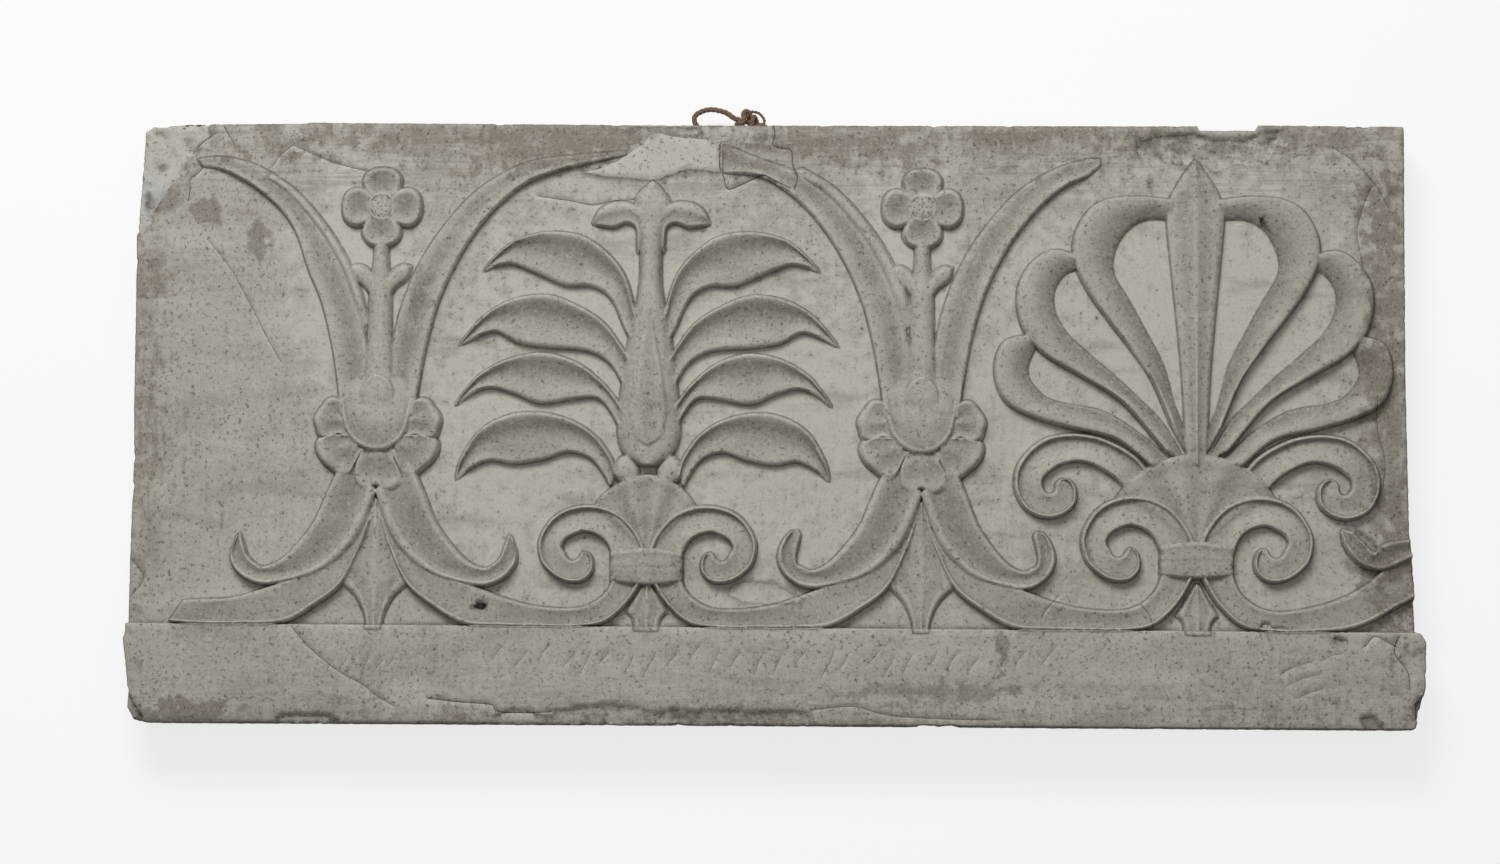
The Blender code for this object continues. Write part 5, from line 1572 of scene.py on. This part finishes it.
class Yarn:
    """Collects tubes, as the points and faces of one mesh."""

    def __init__(self):
        self.verts, self.faces = [], []

    def tube(self, path, radii, corners=7):
        """A closed round tube along a path, with a radius at each point."""
        path, across, over = frames_along(path)
        start = len(self.verts)
        turns = np.linspace(0, 2 * math.pi, corners, endpoint=False)
        for place, side, rise, radius in zip(path, across, over, radii):
            for turn in turns:
                self.verts.append((place + (side * math.cos(turn) + rise * math.sin(turn)) * radius).tolist())
        for ring in range(len(path) - 1):
            for i in range(corners):
                a = start + ring * corners + i
                b = start + ring * corners + (i + 1) % corners
                self.faces.append((a, b, b + corners, a + corners))
        self.faces.append(tuple(range(start + corners - 1, start - 1, -1)))
        last = start + (len(path) - 1) * corners
        self.faces.append(tuple(range(last, last + corners)))

    def laid(self, path, diameter, strands, pitch):
        """Strands laid round each other along a path."""
        path, across, over = frames_along(path)
        steps = np.linalg.norm(np.diff(path, axis=0), axis=1)
        run = np.concatenate([[0], np.cumsum(steps)])
        radii = np.full(len(path), diameter * STRAND_RADIUS[strands])
        for strand in range(strands):
            turn = 2 * math.pi * (strand / strands + run / pitch)
            out = (across * np.cos(turn)[:, None] + over * np.sin(turn)[:, None]) * diameter * STRAND_OUT
            self.tube(path + out, radii)

    def hairs(self, path, diameter, count, seed, reach):
        """Loose fibres that stick out along a path."""
        shaker = random.Random(seed)
        path, across, over = frames_along(path)
        for _ in range(count):
            i = shaker.randrange(len(path) - 1)
            turn = shaker.uniform(0, 2 * math.pi)
            out = across[i] * math.cos(turn) + over[i] * math.sin(turn)
            ahead = path[i + 1] - path[i]
            ahead = ahead / np.linalg.norm(ahead) * shaker.uniform(-1.2, 1.2)
            curl = np.array([shaker.uniform(-0.5, 0.5) for _ in range(3)])
            length = shaker.uniform(*reach)
            share = np.linspace(0, 1, 5)[:, None]
            line = path[i] + out * diameter * 0.42 + (out + ahead) * length * share * 0.6
            line = line + curl * length * share ** 2
            self.tube(line, HAIR * (1.1 - share[:, 0]), 3)

    def piece(self, name, material):
        """The tubes as an object."""
        mesh = bpy.data.meshes.new(name)
        mesh.from_pydata(self.verts, [], self.faces)
        for polygon in mesh.polygons:
            polygon.use_smooth = True
        mesh.materials.append(material)
        piece = bpy.data.objects.new(name, mesh)
        bpy.context.scene.collection.objects.link(piece)
        return piece


def rope_path():
    """The middle of the bare rope, from the panel's top edge over to the knot, as in the part's source."""
    span = KNOT_CENTRE - KNOT_WIDTH * KNOT_OVERLAP - LOOP_LEFT
    route = [(LOOP_LEFT, PANEL_TOP + GAP + ROPE_DIAMETER / 2)]
    for across, up in LOOP_ROUTE:
        route.append((LOOP_LEFT + across * span, PANEL_TOP + up * LOOP_TOP))
    flat = [(LOOP_LEFT, PANEL_TOP + GAP)] + along(route, count=LOOP_POINTS).tolist()
    return [(x, -ROPE_INSET, z) for x, z in flat]


def hemp():
    """The rope's material, made once."""
    return bpy.data.materials.get("hemp_rope") or hemp_material(bpy.context.scene.frieze_rope)


class PanelSettings(bpy.types.PropertyGroup):
    """The casting's surface and colours."""

    waviness: bpy.props.FloatProperty(
        name="Waviness", description="How uneven the cast surface is", default=1.0, min=0.0, max=3.0)
    # How strongly dirt and painted shade darken the hollows.
    dirt_and_shade: bpy.props.FloatProperty(
        name="Dirt", description="How much dirt lies in the hollows", default=0.85, min=0.0, max=1.0,
        subtype="FACTOR")
    plaster: bpy.props.FloatVectorProperty(
        name="Plaster", description="The distemper's grey", subtype="COLOR", min=0, max=1,
        default=linear(165, 160, 149))
    plaster_light: bpy.props.FloatVectorProperty(
        name="Light Plaster", description="The lighter grey of its clouds", subtype="COLOR", min=0, max=1,
        default=linear(182, 178, 167))
    plaster_warm: bpy.props.FloatVectorProperty(
        name="Warm Plaster", description="The browner grey in broad areas", subtype="COLOR", min=0, max=1,
        default=linear(146, 139, 127))
    # Also the colour of the painted highlight on rubbed convex edges.
    plaster_pale: bpy.props.FloatVectorProperty(
        name="Rubbed Plaster", description="The pale grey of rubbed places", subtype="COLOR", min=0, max=1,
        default=linear(192, 189, 181))
    repair: bpy.props.FloatVectorProperty(
        name="Repair", description="The newer plaster of the repair and the breaks", subtype="COLOR", min=0,
        max=1, default=linear(186, 184, 180))
    wash: bpy.props.FloatVectorProperty(
        name="Brown Wash", description="The brushed brown wash", subtype="COLOR", min=0, max=1,
        default=linear(128, 120, 108))
    stain: bpy.props.FloatVectorProperty(
        name="Stain", description="Damp stains", subtype="COLOR", min=0, max=1,
        default=linear(116, 108, 96))
    # The dark brown of dirt and of painted shade in the hollows, also of pits and dark flecks.
    grime_and_shade: bpy.props.FloatVectorProperty(
        name="Grime", description="Dirt in the hollows", subtype="COLOR", min=0, max=1,
        default=linear(70, 63, 54))
    crack: bpy.props.FloatVectorProperty(
        name="Cracks", description="The inside of cracks and cuts", subtype="COLOR", min=0, max=1,
        default=linear(44, 38, 32))


class RopeSettings(bpy.types.PropertyGroup):
    """The hanging loop's size and colours."""

    diameter: bpy.props.FloatProperty(
        name="Diameter", description="The rope's thickness", default=ROPE_DIAMETER, min=0.002, max=0.012,
        unit="LENGTH")
    pitch: bpy.props.FloatProperty(
        name="Lay", description="The length of one turn of its strands", default=0.0135, min=0.004, max=0.05,
        unit="LENGTH")
    hemp: bpy.props.FloatVectorProperty(
        name="Hemp", description="The rope's brown", subtype="COLOR", min=0, max=1,
        default=linear(50, 36, 23))
    hemp_dark: bpy.props.FloatVectorProperty(
        name="Dark Hemp", description="Between its fibres", subtype="COLOR", min=0, max=1,
        default=linear(28, 21, 16))
    hemp_light: bpy.props.FloatVectorProperty(
        name="Light Hemp", description="Its paler fibres", subtype="COLOR", min=0, max=1,
        default=linear(120, 94, 64))
    dust: bpy.props.FloatVectorProperty(
        name="Dust", description="Plaster dust on the rope", subtype="COLOR", min=0, max=1,
        default=linear(170, 163, 150))


class StageSettings(bpy.types.PropertyGroup):
    """The studio round the casting."""

    key_power: bpy.props.FloatProperty(
        name="Key Light", description="Power of the soft light above", default=80.0, min=0.0, unit="POWER")
    fill_power: bpy.props.FloatProperty(
        name="Fill Light", description="Power of the broad light in front", default=14.0, min=0.0,
        unit="POWER")
    room_light: bpy.props.FloatProperty(
        name="Room Light", description="Strength of the light from all round", default=0.26, min=0.0)
    floor_drop: bpy.props.FloatProperty(
        name="Floor", description="How far the floor lies below the middle of the back", default=0.45,
        min=0.3, unit="LENGTH")
    wall_glow: bpy.props.FloatProperty(
        name="Wall Glow", description="How much the white wall behind the casting glows", default=0.81,
        min=0.0)
    backdrop: bpy.props.FloatVectorProperty(
        name="Backdrop", description="The colour behind the casting", subtype="COLOR", min=0, max=1,
        default=linear(250, 250, 250))


class FRIEZE_OT_stage(bpy.types.Operator):
    """Makes the camera, the soft lights, the pale room and the floor."""

    bl_idname = "frieze.stage"
    bl_label = "Stage"

    def execute(self, context):
        settings = context.scene.frieze_stage
        self.camera(context.scene)
        self.light(context.scene, "key_light", settings.key_power, KEY_SIZE, KEY_PLACE)
        self.light(context.scene, "fill_light", settings.fill_power, FILL_SIZE, FILL_PLACE)
        self.room(context.scene, settings)
        reach, low = STUDIO_REACH, -settings.floor_drop
        floor = [(-reach, -reach, low), (reach, -reach, low), (reach, reach, low), (-reach, reach, low)]
        wall = [(-reach, WALL_GAP, low), (reach, WALL_GAP, low),
                (reach, WALL_GAP, reach), (-reach, WALL_GAP, reach)]
        paper = tuple(settings.backdrop)
        self.sheet(context.scene, "studio_floor", floor,
                   paper_material("floor_paper", paper, FLOOR_GLOW, False))
        self.sheet(context.scene, "studio_wall", wall,
                   paper_material("wall_paper", paper, settings.wall_glow, True))
        context.scene.view_settings.view_transform = "Standard"
        return {"FINISHED"}

    def camera(self, scene):
        lens = bpy.data.cameras.new("camera")
        lens.sensor_width = CAMERA_SENSOR
        lens.lens = CAMERA_LENS
        lens.clip_start = CAMERA_NEAR
        camera = bpy.data.objects.new("camera", lens)
        yaw, pitch, roll = (math.radians(angle) for angle in CAMERA_TURN)
        turn = Matrix.Rotation(yaw, 4, "Z") @ Matrix.Rotation(pitch, 4, "X") @ Matrix.Rotation(roll, 4, "Y")
        upright = Matrix.Rotation(math.radians(90), 4, "X")
        camera.matrix_world = Matrix.Translation(CAMERA_PLACE) @ turn @ upright
        scene.collection.objects.link(camera)
        scene.camera = camera

    def light(self, scene, name, power, size, place):
        lamp = bpy.data.lights.new(name, "AREA")
        lamp.shape = "RECTANGLE"
        lamp.size, lamp.size_y = size
        lamp.energy = power
        light = bpy.data.objects.new(name, lamp)
        light.location = place
        light.rotation_euler = (-Vector(place)).to_track_quat("-Z", "Y").to_euler()
        scene.collection.objects.link(light)

    def room(self, scene, settings):
        world = bpy.data.worlds.new("pale_room")
        world.use_nodes = True
        wiring = Wiring(world.node_tree)
        seen = world.node_tree.nodes["Background"]
        wiring.feed(seen.inputs["Color"], tuple(settings.backdrop))
        seen.inputs["Strength"].default_value = 1.0
        glow = wiring.add("ShaderNodeBackground", {"Color": ROOM_COLOUR, "Strength": settings.room_light})
        direct = wiring.add("ShaderNodeLightPath").outputs["Is Camera Ray"]
        both = wiring.add("ShaderNodeMixShader", {0: direct, 1: glow.outputs[0], 2: seen.outputs[0]})
        wiring.feed(world.node_tree.nodes["World Output"].inputs[0], both.outputs[0])
        scene.world = world

    def sheet(self, scene, name, corners, material):
        mesh = bpy.data.meshes.new(name)
        mesh.from_pydata(corners, [], [(0, 1, 2, 3)])
        mesh.materials.append(material)
        sheet = bpy.data.objects.new(name, mesh)
        scene.collection.objects.link(sheet)
        sheet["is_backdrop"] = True


class FRIEZE_OT_rope(bpy.types.Operator):
    """Makes the bare stretch of the hanging loop from three twisted strands."""

    bl_idname = "frieze.rope"
    bl_label = "Hanging Loop"

    def execute(self, context):
        settings = context.scene.frieze_rope
        path = along(rope_path(), count=ROPE_STATIONS)
        yarn = Yarn()
        yarn.laid(path, settings.diameter, LOOP_STRANDS, settings.pitch)
        yarn.hairs(path, settings.diameter, LOOP_HAIRS, LOOP_SEED, LOOP_HAIR_REACH)
        rope = yarn.piece("rope_loop", hemp())
        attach(rope, "root")
        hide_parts("hanging_loop")
        return {"FINISHED"}


class FRIEZE_OT_knot(bpy.types.Operator):
    bl_idname = "frieze.knot"
    bl_label = "Knot"

    def execute(self, context):
        yarn = Yarn()
        for route, diameter, strands, pitch, hairs in KNOT_STRANDS:
            points = [(KNOT_CENTRE + x * MM, -ROPE_INSET + y * MM, PANEL_TOP + GAP + z * MM)
                      for x, y, z in route]
            path = along(points, count=max(KNOT_STATIONS, len(points) * STATIONS_PER_POINT))
            yarn.laid(path, diameter * MM, strands, pitch * MM)
            yarn.hairs(path, diameter * MM, hairs, len(yarn.verts), KNOT_HAIR_REACH)
        knot = yarn.piece("frayed_knot", hemp())
        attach(knot, "root")
        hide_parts("loop_knot")
        path = along(rope_path(), count=ROPE_STATIONS)
        length = float(np.linalg.norm(np.diff(path, axis=0), axis=1).sum())
        rope_path()[0]
        return {"FINISHED"}


class FRIEZE_OT_panel(bpy.types.Operator):
    """Makes the carved and damaged casting as one closed mesh."""

    bl_idname = "frieze.panel"
    bl_label = "Casting"

    def execute(self, context):
        settings = context.scene.frieze_panel
        casting = Casting(CarvedFace(settings.waviness))
        mesh = casting.mesh("carved_panel")
        mesh.materials.append(plaster_material(settings))
        panel = bpy.data.objects.new("carved_panel", mesh)
        context.scene.collection.objects.link(panel)
        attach(panel, "root")
        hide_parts("frieze_panel")
        return {"FINISHED"}


class FRIEZE_PT_sidebar(bpy.types.Panel):
    """Lists the pieces and the settings of the frieze."""

    bl_idname = "FRIEZE_PT_sidebar"
    bl_label = "Plaster Frieze Cast"
    bl_space_type = "VIEW_3D"
    bl_region_type = "UI"
    bl_category = "Frieze"

    def draw(self, context):
        scene = context.scene
        for operator, settings in ((FRIEZE_OT_stage, scene.frieze_stage), (FRIEZE_OT_rope, scene.frieze_rope),
                                   (FRIEZE_OT_knot, None), (FRIEZE_OT_panel, scene.frieze_panel)):
            self.layout.operator(operator.bl_idname)
            for name in settings.__annotations__ if settings else ():
                self.layout.prop(settings, name)


CLASSES = (PanelSettings, RopeSettings, StageSettings, FRIEZE_OT_stage, FRIEZE_OT_rope, FRIEZE_OT_knot,
           FRIEZE_OT_panel, FRIEZE_PT_sidebar)


def register():
    for item in CLASSES:
        bpy.utils.register_class(item)
    bpy.types.Scene.frieze_panel = bpy.props.PointerProperty(type=PanelSettings)
    bpy.types.Scene.frieze_rope = bpy.props.PointerProperty(type=RopeSettings)
    bpy.types.Scene.frieze_stage = bpy.props.PointerProperty(type=StageSettings)


def unregister():
    del bpy.types.Scene.frieze_stage, bpy.types.Scene.frieze_rope, bpy.types.Scene.frieze_panel
    for item in reversed(CLASSES):
        bpy.utils.unregister_class(item)


def corners(box):
    """A box as plain lists of numbers."""
    return [list(corner) for corner in box]


def main():
    register()
    bpy.ops.frieze.stage()
    bpy.ops.frieze.rope()
    bpy.ops.frieze.knot()
    bpy.ops.frieze.panel()
    sizes = {"cad": corners(CAD_BOX), "visual": corners(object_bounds())}


if __name__ == "__main__":
    main()
